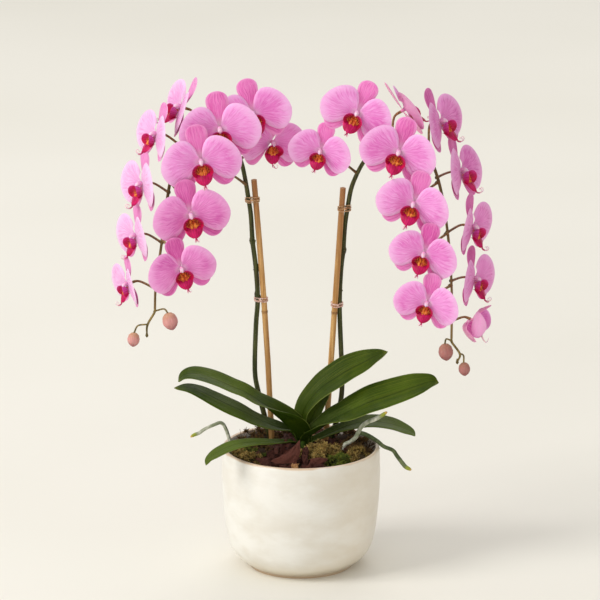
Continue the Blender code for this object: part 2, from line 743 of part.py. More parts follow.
CROWN_RADII = [6.5 * MM, 7.5 * MM, 5.5 * MM]


def make_rosette():
    """The short stem and its strap leaves, one grown body."""
    body = tube("leaf_rosette", [in_mm(p) for p in CROWN], CROWN_RADII, 2)
    blades = [leaf("leaf_" + name, *leaf_row) for name, leaf_row in LEAVES.items()]
    return keep(boolean(body, blades, "UNION"), "leaf_rosette", "leaf")


# The aerial roots run through these points (x, y, z) in mm.
LEFT_ROOT = [
    (-75, 6, 112), (-75.5, 6, 130), (-77, 5.5, 140), (-80, 5, 150.5), (-84.4, 4, 158.2),
    (-88.2, 3, 161.4), (-94.3, 1, 160.3), (-101, -1, 158), (-107.5, -4, 153), (-114, -6, 150.3),
    (-123.5, -10, 148.2),
]
RIGHT_ROOT = [
    (46.6, -8, 112), (47.4, -8, 130), (48, -8, 139.5), (53.5, -9, 144), (60, -11, 148),
    (63, -13, 154.3), (65.5, -16, 161), (70, -19, 168), (77, -23, 173), (84.5, -26, 177.9),
    (94.9, -30, 183.5),
]
RIGHT_BRANCH = [
    (62.8, -12.5, 153.6), (72.5, -7, 151.3), (79.5, -3, 146.2), (87, 0, 139.5), (95, 0, 134.3),
    (100.5, -1, 130.7), (105, -3, 128.7), (109.7, -5, 123.5), (113, -7, 118.4), (115.8, -9, 114.2),
    (119, -10, 112.3), (123, -11, 111.5),
]


def root_tube(name, route):
    points = [in_mm(p) for p in route]
    radii = [ROOT_RADIUS] * (len(points) - 1) + [ROOT_RADIUS * 0.6]
    return tube(name, points, radii)


def make_roots():
    """The aerial roots: a single one on the left and a branched one on the right."""
    keep(root_tube("root_left", LEFT_ROOT), "root_left", "root")
    right = boolean(root_tube("root_right", RIGHT_ROOT), [root_tube("branch", RIGHT_BRANCH)], "UNION")
    keep(right, "root_right", "root")


# The pot and the bark in it.


def make_pot():
    profile = [(radius * MM, height * MM) for radius, height in reversed(POT_OUTSIDE + POT_INSIDE)]
    return keep(turned("pot", profile, POT_STEPS), "pot", "glaze")


def bark_chip(chance):
    """A flake of bark: a tapered slab that leans out of the surface."""
    flake = bmesh.new()
    bmesh.ops.create_cube(flake, size=1.0)
    for vertex in flake.verts:
        if vertex.co.x > 0:
            vertex.co.y *= BARK_CHIP_TAPER
    turn = chance.uniform(0, 2 * math.pi)
    reach = chance.uniform(0.3, 0.8) * BARK_CHIP_RING
    bearing = chance.uniform(0, 2 * math.pi)
    size = [chance.uniform(*limits) for limits in (CHIP_LENGTHS, CHIP_WIDTHS, CHIP_THICKNESSES)]
    tilt = Matrix.Rotation(math.radians(chance.uniform(*CHIP_TILTS)), 4, "Y")
    height = BARK_CROWN_HEIGHT - BARK_CHIP_SINK
    spot = Matrix.Translation((reach * math.cos(bearing), reach * math.sin(bearing), height))
    flake.transform(spot @ Matrix.Rotation(turn, 4, "Z") @ tilt @ Matrix.Diagonal((*size, 1)))
    mesh = bpy.data.meshes.new("chip")
    flake.to_mesh(mesh)
    flake.free()
    return mesh_object("chip", mesh, WORKSHOP)


def moss_mound(centre, radii, seed):
    """A low cushion of moss, rough from a seeded draw."""
    chance = random.Random(seed)
    mound = bmesh.new()
    bmesh.ops.create_icosphere(mound, subdivisions=2, radius=1.0)
    for vertex in mound.verts:
        vertex.co *= chance.uniform(*MOSS_ROUGHNESS)
    mound.transform(Matrix.Translation(in_mm(centre)) @ Matrix.Diagonal((*in_mm(radii), 1)))
    mesh = bpy.data.meshes.new("mound")
    mound.to_mesh(mesh)
    mound.free()
    return mesh_object("mound", mesh, WORKSHOP)


def hole_cutter(route, radius):
    """A straight plug, wider than a stem by the hole's gap, from under its foot to above the bark."""
    foot, next_point = in_mm(route[0][:3]), in_mm(route[1][:3])
    axis = (next_point - foot).normalized()
    start = foot - axis * HOLE_GAP
    end = foot + axis * ((HOLE_TOP - foot.z) / axis.z)
    return tube("hole", [start, end], [radius + HOLE_GAP] * 2, 2)


def make_bark():
    """The bed of bark: it fills the pot's hollow, with chips, moss and a hole for each stem."""
    chance = random.Random(BARK_SEED)
    floor = (0, POT_INSIDE[-1][1] * MM + BARK_CLEARANCE)
    hollow = [in_mm(point) for point in POT_INSIDE[-2:0:-1]]
    wall = [(point.x - BARK_CLEARANCE, point.y + BARK_CLEARANCE) for point in hollow]
    rim = (POT_INSIDE[1][0] * MM - 1.5 * BARK_CLEARANCE, BARK_EDGE_HEIGHT)
    profile = [floor, *wall, rim, BARK_SHOULDER, (0, BARK_CROWN_HEIGHT)]
    bed = turned("potting_bark", profile[::-1], POT_STEPS)
    pieces = [bark_chip(chance) for _ in range(BARK_CHIP_COUNT)]
    pieces += [moss_mound(*mound, seed) for seed, mound in enumerate(MOSS_MOUNDS, 1)]
    boolean(bed, pieces, "UNION")
    spikes = (LEFT_SPIKE, RIGHT_SPIKE)
    cutters = [hole_cutter(route, SPIKE_RADIUS * route[0][3]) for route in spikes]
    cutters += [hole_cutter(route, STAKE_RADIUS) for route in (LEFT_STAKE, RIGHT_STAKE)]
    cutters += [hole_cutter(route, ROOT_RADIUS) for route in (LEFT_ROOT, RIGHT_ROOT)]
    cutters.append(hole_cutter(CROWN, CROWN_RADII[1]))
    return keep(boolean(bed, cutters, "DIFFERENCE"), "potting_bark", "bark")


clear_scene()
PLANT = new_collection("moth_orchid")
WORKSHOP = new_collection("workshop")
MATERIALS = {name: make_material(name) for name in COLOURS}

make_pot()
make_bark()
make_rosette()
make_roots()
make_spike("spike_left", LEFT_SPIKE, LEFT_BLOOMS)
make_spike("spike_right", RIGHT_SPIKE, [*RIGHT_BLOOMS, HALF_OPEN_BLOOM])
make_stake("stake_left", LEFT_STAKE)
make_stake("stake_right", RIGHT_STAKE)
for side_name, spike_route, stake_ends in (
    ("left", LEFT_SPIKE, LEFT_STAKE),
    ("right", RIGHT_SPIKE, RIGHT_STAKE),
):
    for place_name, tie_height in zip(("lower", "upper"), TIE_HEIGHTS[side_name]):
        make_tie(f"tie_{side_name}_{place_name}", spike_route, stake_ends, tie_height)
make_bud_cluster("buds_left", LEFT_BUD_STEM, LEFT_BUDS)
make_bud_cluster("buds_right", RIGHT_BUD_STEM, RIGHT_BUDS)
make_blooms()
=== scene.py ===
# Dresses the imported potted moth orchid: every plain solid gets a finer piece of the same form, with
# veined petals, ribbed lips, strap leaves with a midrib, bamboo, raffia, bark, moss, silvery roots and
# a glazed pot.
import math
import random

import bmesh
import bpy
import numpy as np
from mathutils import Matrix, Vector


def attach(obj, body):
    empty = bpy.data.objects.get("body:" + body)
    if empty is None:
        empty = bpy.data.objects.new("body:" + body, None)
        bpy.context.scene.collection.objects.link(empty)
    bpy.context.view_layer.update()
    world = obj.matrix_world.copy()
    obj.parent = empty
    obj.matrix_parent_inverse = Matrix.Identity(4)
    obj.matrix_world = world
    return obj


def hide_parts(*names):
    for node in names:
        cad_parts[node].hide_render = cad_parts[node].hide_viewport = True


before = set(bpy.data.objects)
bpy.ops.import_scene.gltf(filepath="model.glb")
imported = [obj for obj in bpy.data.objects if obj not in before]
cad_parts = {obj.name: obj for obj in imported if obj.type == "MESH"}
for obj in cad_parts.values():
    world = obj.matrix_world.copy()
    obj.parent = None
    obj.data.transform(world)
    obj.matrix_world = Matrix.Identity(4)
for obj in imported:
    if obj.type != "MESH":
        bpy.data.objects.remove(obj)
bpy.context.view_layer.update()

MM = 0.001

# Camera, at the photograph's viewing angle.
CAMERA_SPOT = (-0.001, -4.5, 1.527)
CAMERA_TARGET = (-0.001, 0.0, 0.3036)
CAMERA_LENS = 254.36

# Sizes of a flower, as the solids have them.
BLOOM_WIDTH = 87 * MM
PETAL_REACH = BLOOM_WIDTH / 2
PETAL_LOW_ANGLE = -52.0
PETAL_HIGH_ANGLE = 78.0
PETAL_PEAK = -0.26
PETAL_UPPER_FALL = ((0.34, 1.2), (0.34, 8))
PETAL_LOWER_FALL = ((0.2, 1.8), (0.28, 8))
PETAL_BULGE = 3.2 * MM
PETAL_SWEEP = 8.0
PETAL_ROOT = 0.8 * MM
SEPAL_LENGTH = 0.46 * BLOOM_WIDTH
SEPAL_WIDTH = 0.264 * BLOOM_WIDTH
SEPAL_CUP = 4 * MM
DORSAL_LEAN = 3 * MM
LATERAL_LEAN = -5 * MM
LATERAL_SEPAL_ANGLE = 129.0
SEPAL_DEPTHS = (2.0 * MM, 2.4 * MM, 2.8 * MM)
PETAL_THICKNESS = 0.7 * MM
HUB_BACK = 6 * MM
HALF_OPEN_PETAL_CURL = 16 * MM
HALF_OPEN_DORSAL_CURL = 35 * MM
HALF_OPEN_LATERAL_CURL = 34 * MM
HALF_OPEN_LATERAL_BELLY = 13 * MM
HALF_OPEN_LATERAL_ANGLE = 140.0
HALF_OPEN_HOOD = 5 * MM

SPIKE_RADIUS = 2.7 * MM
PEDICEL_RADIUS = 1.3 * MM
STAKE_RADIUS = 3.2 * MM
ROOT_RADIUS = 2.4 * MM
LEAF_THICKNESS = 2.0 * MM

# The spikes, stakes, blooms, leaves and roots run where their solids do. Points are in mm.
LEFT_SPIKE = [
    (-29.6, 34, 112, 1.15), (-37, 33, 146, 1.15), (-42, 31, 167, 1.1), (-47.5, 29.5, 190, 1.05),
    (-51.2, 28.5, 215, 1.0), (-49.8, 28, 267, 1.0), (-47.8, 28, 296, 1.0), (-49.5, 28, 330, 1.0),
    (-52.9, 27.5, 359, 1.0), (-53.4, 27.5, 364, 1.4), (-53.6, 27.5, 366, 1.0), (-55.2, 27, 394, 0.95),
    (-58.4, 25.5, 417, 0.95), (-61, 23, 434, 0.9), (-65, 19, 454, 0.9), (-73, 14, 475, 0.85),
    (-85, 9, 493, 0.8), (-103, 3, 499, 0.75), (-122, -3, 488, 0.7), (-135, -8, 466, 0.65),
    (-143, -13, 437, 0.65), (-148, -17, 404, 0.6), (-152, -20, 373, 0.55), (-156, -23, 346, 0.55),
    (-159, -25, 322, 0.5), (-159.7, -26, 301, 0.5),
]
RIGHT_SPIKE = [
    (26.5, 32.5, 112, 1.15), (34.8, 31.5, 140, 1.15), (40.3, 30, 158, 1.1), (45.2, 28, 186, 1.05),
    (45.6, 28, 213, 1.0), (43.4, 28, 267, 1.0), (42.8, 28, 296, 1.0), (44.2, 28, 330, 1.0),
    (46.4, 28, 349, 1.0), (46.8, 28, 354, 1.4), (47, 28, 356, 1.0), (48.6, 27, 382, 0.95),
    (51.9, 26, 405, 0.95), (55, 24, 423, 0.95), (60, 20, 438, 0.9), (68, 15, 455, 0.85),
    (81, 10, 473, 0.8), (98, 4, 485, 0.75), (117.5, -2, 487, 0.7), (135, -7, 474, 0.7),
    (146, -11, 453, 0.65), (153.6, -14, 426, 0.6), (159, -17, 393, 0.55), (162.7, -19, 360, 0.55),
    (164.6, -21, 329, 0.5), (165.3, -22, 304, 0.5), (165.2, -23, 266, 0.5),
]
LEFT_STAKE = [
    (-28.5, 25, 30), (-32.3, 25.5, 130), (-33.8, 25.7, 165), (-36.7, 26, 227), (-40.9, 27, 296),
    (-45.9, 27.5, 364), (-51.6, 28, 433),
]
RIGHT_STAKE = [(20.8, 23, 30), (27.2, 23, 130), (37.6, 23, 292), (46.2, 23, 425)]
STAKE_KNOTS = (158, 283)
TIE_HEIGHTS = {"left": (297, 411), "right": (292, 402)}
TIE_LOOKS = ("raffia_pink", "raffia_tan")
# The bracts on a spike's rising stretch: height in mm, and the side each turns to.
LEFT_BRACTS = ((362, -1), (330, 1), (300, -1))
RIGHT_BRACTS = ((351, 1), (306, -1))

# A bloom's row: name, centre, yaw, pitch, roll, share of the full width, where its stalk leaves the spike.
LEFT_BLOOMS = [
    ("left_1", (-32, 24, 476.4), 24, -6, 8, 0.90, "rise", 458),
    ("left_2", (-52, -2, 514.4), 3, 4, -13, 0.96, "rise", 482),
    ("left_3", (-87.5, -33, 504), 2, 2, -6, 1.02, "fall", 489),
    ("left_4", (-107.5, -56, 474), 2, -2, -10, 1.00, "rise", 428),
    ("left_5", (-119, -67, 417.4), 9, -4, -11, 0.97, "fall", 440),
    ("left_6", (-129.5, -77, 360), 13, -4, -15, 0.87, "fall", 378),
    ("left_7", (-131, 34, 513.3), -76, 19, 11, 0.93, "fall", 496),
    ("left_8", (-157.6, 7, 489.2), -65, 10, 0, 0.89, "fall", 477),
    ("left_9", (-173.4, 10, 432.7), -62, 0, -7, 0.94, "fall", 429),
    ("left_10", (-180.8, 6, 375.5), -62, -3, -6, 0.88, "fall", 374),
    ("left_11", (-190, 2, 321.9), -65, -10, -2, 0.79, "fall", 323),
]
RIGHT_BLOOMS = [
    ("right_1", (21.5, -8, 474), -10, -2, 14, 0.80, "rise", 442),
    ("right_2", (61, -18, 518.5), -8, 4, 24, 0.93, "rise", 476),
    ("right_3", (106, -34, 479), -8, 0, 15, 0.97, "fall", 481),
    ("right_4", (122, -46, 424.5), -10, -3, 16, 0.93, "fall", 440),
    ("right_5", (133.5, -56, 371), -11, -3, 15, 0.87, "fall", 384),
    ("right_6", (137, -64, 318), -12, -3, 12, 0.83, "fall", 326),
    ("right_7", (113.8, 48, 507.4), 103, 28, 2, 0.94, "top", 485),
    ("right_8", (151.7, 18, 500.6), 65, 15, -4, 0.98, "fall", 468),
    ("right_9", (174.5, 14, 446.4), 67, 12, 6, 1.00, "fall", 445),
    ("right_10", (187.7, 10, 384.8), 64, -3, 0, 0.92, "fall", 385),
    ("right_11", (190.5, 6, 326.8), 62, 0, 2, 0.91, "fall", 331),
]
HALF_OPEN_BLOOM = ("right_12", (190, -4, 281.7), 74, -18, 0, 0.72, "fall", 286)

LEFT_BUD_STEM = [(-159.7, -26, 300.7), (-160.5, -26, 296), (-168.1, -26, 282.3), (-168.8, -26, 270.9)]
LEFT_BUDS = [
    ([(-160.2, -26, 298), (-150, -26, 300.5), (-145.8, -26, 296)], (-140.2, -26, 276), 1.0),
    ([(-168.1, -26, 283), (-178.5, -26, 281.5), (-182.8, -26, 273.5)], (-184.3, -26, 257), 0.8),
]
RIGHT_BUD_STEM = [(165.2, -23, 265.7), (165.4, -23, 262), (174.6, -23, 248.4), (171.8, -23, 239.5)]
RIGHT_BUDS = [
    ([(165.3, -23, 263.5), (159.5, -23, 265.5), (158.0, -23, 260)], (160.4, -23, 240), 0.96),
    ([(174.6, -23, 249), (178.6, -23, 246.5), (178.9, -23, 238.5)], (180.4, -23, 224), 0.76),
]
BUD_LENGTH = 21 * MM
BUD_WIDTH = 17 * MM

# Share of a leaf's full width at shares of its length: most widen from a narrow base, one is a strap.
LANCE = (
    (0.0, 0.42), (0.2, 0.5), (0.37, 0.74), (0.52, 0.95), (0.66, 1.0), (0.8, 0.84), (0.9, 0.54),
    (0.96, 0.29), (1.0, 0.0),
)
STRAP = (
    (0.0, 0.7), (0.14, 1.1), (0.3, 1.1), (0.45, 1.0), (0.66, 0.96), (0.8, 0.84), (0.9, 0.6),
    (0.96, 0.34), (1.0, 0.0),
)
# A leaf's row: its midrib's points, width, outline, roll at its base and tip, and how far each half is
# folded up there.
LEAVES = {
    "upper_left": (
        [
            (0, -1, 134), (-3, -3, 146), (-9, -6, 155), (-17, -9, 165), (-27, -12, 175), (-38, -14, 185),
            (-49, -15, 193), (-62, -15, 202), (-76, -15, 208), (-91, -15, 215), (-105, -15, 220),
            (-119, -15, 223), (-129, -15, 221), (-135, -15, 214),
        ],
        34, STRAP, 4, 20, 74, 8,
    ),
    "lower_left": (
        [
            (-2, 0, 136), (-8, 1, 148), (-13, 1, 153), (-23, -1, 156), (-35, -3, 161), (-50, -6, 169),
            (-65, -8, 178), (-81, -9, 186), (-96, -10, 194), (-111, -11, 202), (-126, -12, 207),
            (-140, -12, 206),
        ],
        31, LANCE, 22, 20, 44, -6,
    ),
    "front_left": (
        [
            (-3, -5, 136), (-8, -12, 143), (-14, -19, 146), (-24, -30, 149), (-35, -40, 152),
            (-50, -49, 155), (-65, -58, 156), (-76, -64, 155), (-86, -69, 152), (-95, -74, 148),
            (-101, -77, 144), (-104, -79, 138),
        ],
        18.5, LANCE, 12, 14, 26, 2,
    ),
    "upper_right": (
        [
            (3, 3, 134), (2, 4, 146), (1, 4, 159), (4, 5, 175), (12, 6, 189), (24, 6, 202),
            (38, 6, 212), (53, 6, 222), (69, 6, 230), (82, 6, 237), (96, 6, 243),
        ],
        38, LANCE, 34, 36, 46, 10,
    ),
    "inner_right": (
        [(5, 9, 134), (8, 12, 150), (13, 14, 165), (21, 15, 180), (32, 15, 192)],
        22, LANCE, 50, 44, 30, 16,
    ),
    "lower_right": (
        [
            (3, 0, 134), (7, -1, 145), (12, -2, 150), (20, -3, 156), (28, -5, 163), (38, -7, 170),
            (49, -9, 176), (61, -10, 182), (77, -11, 190), (94, -11, 196), (114, -11, 203),
            (131, -11, 209), (143, -11, 213), (152, -11, 212),
        ],
        41, LANCE, 18, 42, 64, 12,
    ),
    "back_right": (
        [
            (6, 4, 132), (12, 4, 139), (20, 5, 142), (34, 5, 149), (50, 4, 156), (67, 4, 161),
            (83, 4, 162), (101, 4, 159), (114, 4, 154), (123, 4, 150), (127, 4, 146),
        ],
        27, LANCE, 18, 14, 34, 5,
    ),
}
LEFT_ROOT = [
    (-75, 6, 112), (-76, 6, 124), (-78, 5, 136), (-80.4, 5, 145), (-83, 4.5, 153.4), (-86, 4, 159.5),
    (-90, 3, 161.7), (-96, 1, 160), (-104, -1, 157), (-109, -3, 154.4), (-113, -5, 152),
    (-117.5, -7, 151), (-122, -9, 149),
]
RIGHT_ROOT = [
    (46.6, -8, 112), (46.8, -8, 130), (48.2, -8, 139.3), (54.3, -9, 143), (60.6, -11, 149),
    (64, -13, 156.6), (67, -16, 162.7), (73.5, -19, 169), (81.6, -23, 173.6), (89, -27, 179),
    (94.4, -30, 184),
]
RIGHT_BRANCH = [
    (63, -12, 153), (67, -10, 153.6), (75, -7, 149.6), (85, -3, 142), (92, -1, 135.4), (102, -1, 131),
    (107, -3, 124.6), (113, -7, 117.5), (116.5, -9, 114), (122.3, -11, 111.2),
]
POT_OUTSIDE = [
    (0, 0), (57.5, 0), (58.5, 3), (64.5, 7), (72.5, 14), (79.5, 26),
    (83.5, 45), (86.3, 72), (88, 104), (87.2, 133), (85.4, 136),
]
POT_INSIDE = [(82.6, 135.2), (82.8, 104), (80.4, 62), (74, 28), (62, 13.5), (0, 8)]


def tone(red, green, blue):
    """A colour given in the usual 0 to 255 steps, as the shader's linear values."""
    steps = np.array((red, green, blue)) / 255
    linear = np.where(steps <= 0.04045, steps / 12.92, ((steps + 0.055) / 1.055) ** 2.4)
    return (*(float(value) for value in linear), 1.0)


def mm(values):
    return np.array(values, float) * MM


def stacked(*columns):
    """Columns of numbers side by side as rows, each spread to the shape of all."""
    return np.stack(np.broadcast_arrays(*columns), axis=-1)


# Materials. A piece's "spot" attribute says where on a blade a point is: along it, across it and 1
# on its face. On tubes, bark and moss its numbers mean what the names say where they are read.
# Colours are in steps from 0 to 255.


class Value:
    """A number or colour that a material works out at each point; arithmetic on it adds the nodes."""

    def __init__(self, look, socket):
        self.look = look
        self.socket = socket

    def __add__(self, other):
        return self.look.math("ADD", self, other)

    def __sub__(self, other):
        return self.look.math("SUBTRACT", self, other)

    def __mul__(self, other):
        return self.look.math("MULTIPLY", self, other)

    def __abs__(self):
        return self.look.math("ABSOLUTE", self)

    def larger(self, other):
        return self.look.math("MAXIMUM", self, other)

    def ease(self, low, high, start=0.0, end=1.0):
        """Goes smoothly from start to end as the value goes from low to high."""
        inputs = dict(enumerate((self, low, high, start, end)))
        return self.look.value("MapRange", inputs, interpolation_type="SMOOTHSTEP")


# The finished materials, by the names given here.
LOOKS = {}


class Shading:
    """One material and the nodes that make its colour, roughness and bump."""

    def __init__(self, name, roughness=0.5, **constants):
        self.name = name
        self.material = bpy.data.materials.new(name)
        self.material.use_nodes = True
        self.tree = self.material.node_tree
        self.inputs = self.tree.nodes["Principled BSDF"].inputs
        constants = {"Roughness": roughness, "Specular_IOR_Level": 0.2, **constants}
        for socket, value in constants.items():
            self.inputs[socket.replace("_", " ")].default_value = value

    def feed(self, socket, value):
        if isinstance(value, Value):
            self.tree.links.new(value.socket, socket)
        else:
            socket.default_value = value

    def outputs(self, kind, inputs, **settings):
        """The outputs of a new node with these settings, its inputs fed by name or number."""
        node = self.tree.nodes.new("ShaderNode" + kind)
        for name, value in settings.items():
            setattr(node, name, value)
        for name, value in inputs.items():
            self.feed(node.inputs[name], value)
        return node.outputs

    def value(self, kind, inputs, output=0, **settings):
        return Value(self, self.outputs(kind, inputs, **settings)[output])

    def math(self, operation, first, second=0.0):
        return self.value("Math", {0: first, 1: second}, operation=operation)

    def mix(self, share, first, second):
        first, second = (tone(*paint) if isinstance(paint, tuple) else paint for paint in (first, second))
        return self.value("Mix", {0: share, 6: first, 7: second}, 2, data_type="RGBA")

    def split(self, vector):
        return [Value(self, output) for output in self.outputs("SeparateXYZ", {0: vector})]

    def spot(self):
        return self.value("Attribute", {}, "Vector", attribute_name="spot")

    def coordinates(self, stretch=(1.0, 1.0, 1.0), on_spot=False):
        source = self.spot() if on_spot else self.value("TexCoord", {}, "Object")
        return self.value("Mapping", {"Vector": source, "Scale": stretch})

    def noise_at(self, vector, scale, detail, roughness):
        inputs = {"Vector": vector, "Scale": scale, "Detail": detail, "Roughness": roughness}
        return self.value("TexNoise", inputs)

    def noise(self, scale, detail=3.0, roughness=0.5, stretch=(1.0, 1.0, 1.0), on_spot=False):
        return self.noise_at(self.coordinates(stretch, on_spot), scale, detail, roughness)

    def lines(self, value, width):
        """Thin lines wherever the value passes a half, 1 at the line and 0 a width away."""
        return abs(self.math("FRACT", value) - 0.5).ease(0.0, width, 1.0, 0.0)

    def bump(self, height, distance, strength=1.0):
        inputs = {"Height": height, "Distance": distance, "Strength": strength}
        self.feed(self.inputs["Normal"], self.value("Bump", inputs))

    def roughness(self, value):
        self.feed(self.inputs["Roughness"], value)

    def colour(self, value):
        """Feeds the colour, and with that the material is finished."""
        self.feed(self.inputs["Base Color"], value)
        LOOKS[self.name] = self.material

    def two_sided(self, front, face, back):
        """Colours the face of a blade and its back."""
        self.colour(self.mix(front.ease(0.3, 0.7), back, face))


WHITE_PINK = (246, 222, 236)


def petal_shading(name, streaks, face, deep, pale, vein, back):
    """Veined petal: streaks and broken veins fan out from its root and fade toward the paler margin."""
    skin = {"Subsurface_Weight": 0.2, "Subsurface_Scale": 0.002, "Subsurface_Radius": (1.0, 0.5, 0.85)}
    look = Shading(name, Sheen_Weight=0.12, **skin)
    along, across, front = look.split(look.spot())
    warp = look.noise(85, 2.0) - 0.5
    cloud = look.noise(60)
    broad = look.noise(20, 2.0)
    main = look.lines(across * streaks + warp * 1.9, 0.16) * cloud.ease(0.36, 0.6)
    fan = {0: along * 3.0, 1: across * (3.6 * streaks) + warp * 5.0, 2: broad * 9.0}
    streak = look.noise_at(look.value("CombineXYZ", fan), 1.0, 4.0, 0.62)
    margin = along.larger(abs(across))
    inner = margin.ease(0.74, 0.98, 1.0, 0.0) * along.ease(0.05, 0.22)
    body = look.mix(broad.ease(0.4, 0.64) * along.ease(0.08, 0.4, 0.35), face, deep)
    body = look.mix(streak.ease(0.52, 0.36, 0.0, 0.4), body, pale)
    body = look.mix(margin.ease(0.66, 1.0, 0.0, 0.6), body, pale)
    strokes = streak.ease(0.52, 0.68, 0.0, 0.42) * inner
    body = look.mix(strokes.larger(main * inner * 0.5), body, vein)
    body = look.mix(along.ease(0.02, 0.24, 0.75, 0.0), body, WHITE_PINK)
    look.bump(cloud - streak * 0.6, 0.0005)
    look.two_sided(front, body, look.mix(strokes * 0.4, back, vein))


def cup_shading():
    """The lip's bowl: crimson, more magenta toward rim and top, golden strands low in its throat, and
    painted shade deep in it.
    """
    look = Shading("cup", 0.42, Subsurface_Weight=0.12, Subsurface_Scale=0.0015)
    along, across, front = look.split(look.spot())
    ribs = look.lines(across * 4.5 + (look.noise(220, 2.0) - 0.5) * 1.3, 0.3)
    red = look.mix(look.noise(150).ease(0.36, 0.66), (206, 18, 82), (172, 6, 56))
    magenta = look.mix(along.ease(0.6, 1.0), (204, 24, 98), (222, 66, 156))
    body = look.mix(across.ease(-0.2, 0.7), red, magenta)
    # Painted shade: darker crimson toward the bottom of the bowl, deep in the throat.
    body = look.mix(along.ease(0.2, 0.6, 0.8, 0.0), body, (158, 34, 36))
    reach = along.ease(0.4, 0.74, 1.0, 0.0) * across.ease(-0.3, 0.6, 0.9, 0.3)
    body = look.mix(ribs * reach, body, (226, 142, 58))
    outer = look.mix(across.ease(-0.4, 0.6), (196, 14, 76), (206, 82, 164))
    look.bump(ribs * -1.0, 0.0003)
    look.two_sided(front, body, look.mix(ribs * 0.4, outer, (160, 12, 78)))


def mid_lobe_shading():
    """The lip's front lobe: magenta crimson with dark ribs, and a pale line along its shoulders."""
    look = Shading("mid_lobe", 0.42, Subsurface_Weight=0.12, Subsurface_Scale=0.0015)
    along, across, front = look.split(look.spot())
    ribs = look.lines(across * 3.5 + (look.noise(200, 2.0) - 0.5), 0.3)
    body = look.mix(look.noise(150).ease(0.36, 0.66), (206, 20, 100), (174, 8, 70))
    body = look.mix(ribs * 0.45, body, (134, 4, 52))
    rim = abs(across).larger(along.ease(0.1, 0.0))
    body = look.mix(rim.ease(0.88, 1.0, 0.0, 0.6), body, (236, 130, 176))
    look.two_sided(front, body, (206, 70, 130))


def callus_shading():
    """The lip's yellow-orange crest with crimson lines and dots."""
    look = Shading("callus", 0.4, Subsurface_Weight=0.1, Subsurface_Scale=0.001)
    gold = look.mix(look.noise(260, 2.0).ease(0.35, 0.65), (240, 150, 64), (202, 84, 42))
    look.bump(look.noise(700, 2.0), 0.0004)
    marks = look.noise(420, 2.0).ease(0.5, 0.62, 0.0, 0.75)
    look.colour(look.mix(marks, gold, (158, 34, 34)))


def column_shading():
    look = Shading("column", 0.45, Subsurface_Weight=0.15, Subsurface_Scale=0.0015)
    along, _, _ = look.split(look.spot())
    body = look.mix(along.ease(0.25, 0.75), (226, 150, 198), (244, 214, 230))
    blotch = look.noise(300, 2.0).ease(0.45, 0.7, 0.0, 0.4)
    look.colour(look.mix(blotch, body, (214, 130, 180)))


def tendril_shading():
    look = Shading("tendril", 0.4, Subsurface_Weight=0.15, Subsurface_Scale=0.001)
    along, _, _ = look.split(look.spot())
    look.colour(look.mix(along.ease(0.1, 0.5), (190, 60, 110), (248, 222, 230)))


def stem_shading():
    """Olive stem: purplish brown patches, fine lengthwise streaks, pale dots; browner on the stalks."""
    look = Shading("stem", 0.42)
    _, _, kind = look.split(look.spot())
    streak = look.noise(420, stretch=(1.0, 1.0, 0.06))
    green = look.mix(streak.ease(0.35, 0.7), (44, 52, 22), (84, 88, 46))
    green = look.mix(look.noise(45).ease(0.5, 0.72, 0.0, 0.55), green, (60, 42, 28))
    brown = look.mix(streak.ease(0.35, 0.7), (118, 84, 48), (176, 138, 90))
    cells = look.value("TexVoronoi", {"Vector": look.coordinates(), "Scale": 520})
    look.bump(streak, 0.0002)
    body = look.mix(kind, green, brown)
    look.colour(look.mix(cells.ease(0.12, 0.2, 0.35, 0.0), body, (176, 166, 120)))


def bamboo_shading():
    """Golden bamboo: fine lengthwise grain, brown at the rings and redder toward the top."""
    look = Shading("bamboo", 0.45, Coat_Weight=0.1, Coat_Roughness=0.4)
    along, _, ring = look.split(look.spot())
    grain = look.noise(620, 4.0, 0.6, stretch=(1.0, 1.0, 0.025))
    patch = look.noise(60, stretch=(1.0, 1.0, 0.3))
    wood = look.mix(grain.ease(0.3, 0.7), (176, 128, 70), (222, 180, 116))
    wood = look.mix(patch.ease(0.45, 0.7, 0.0, 0.5), wood, (150, 100, 52))
    wood = look.mix(along.ease(0.72, 0.98, 0.0, 0.6), wood, (138, 86, 50))
    scar = ring * look.noise(260, 2.0).ease(0.3, 0.6, 0.5)
    look.bump(grain, 0.00015)
    look.colour(look.mix(scar, wood, (112, 72, 42)))


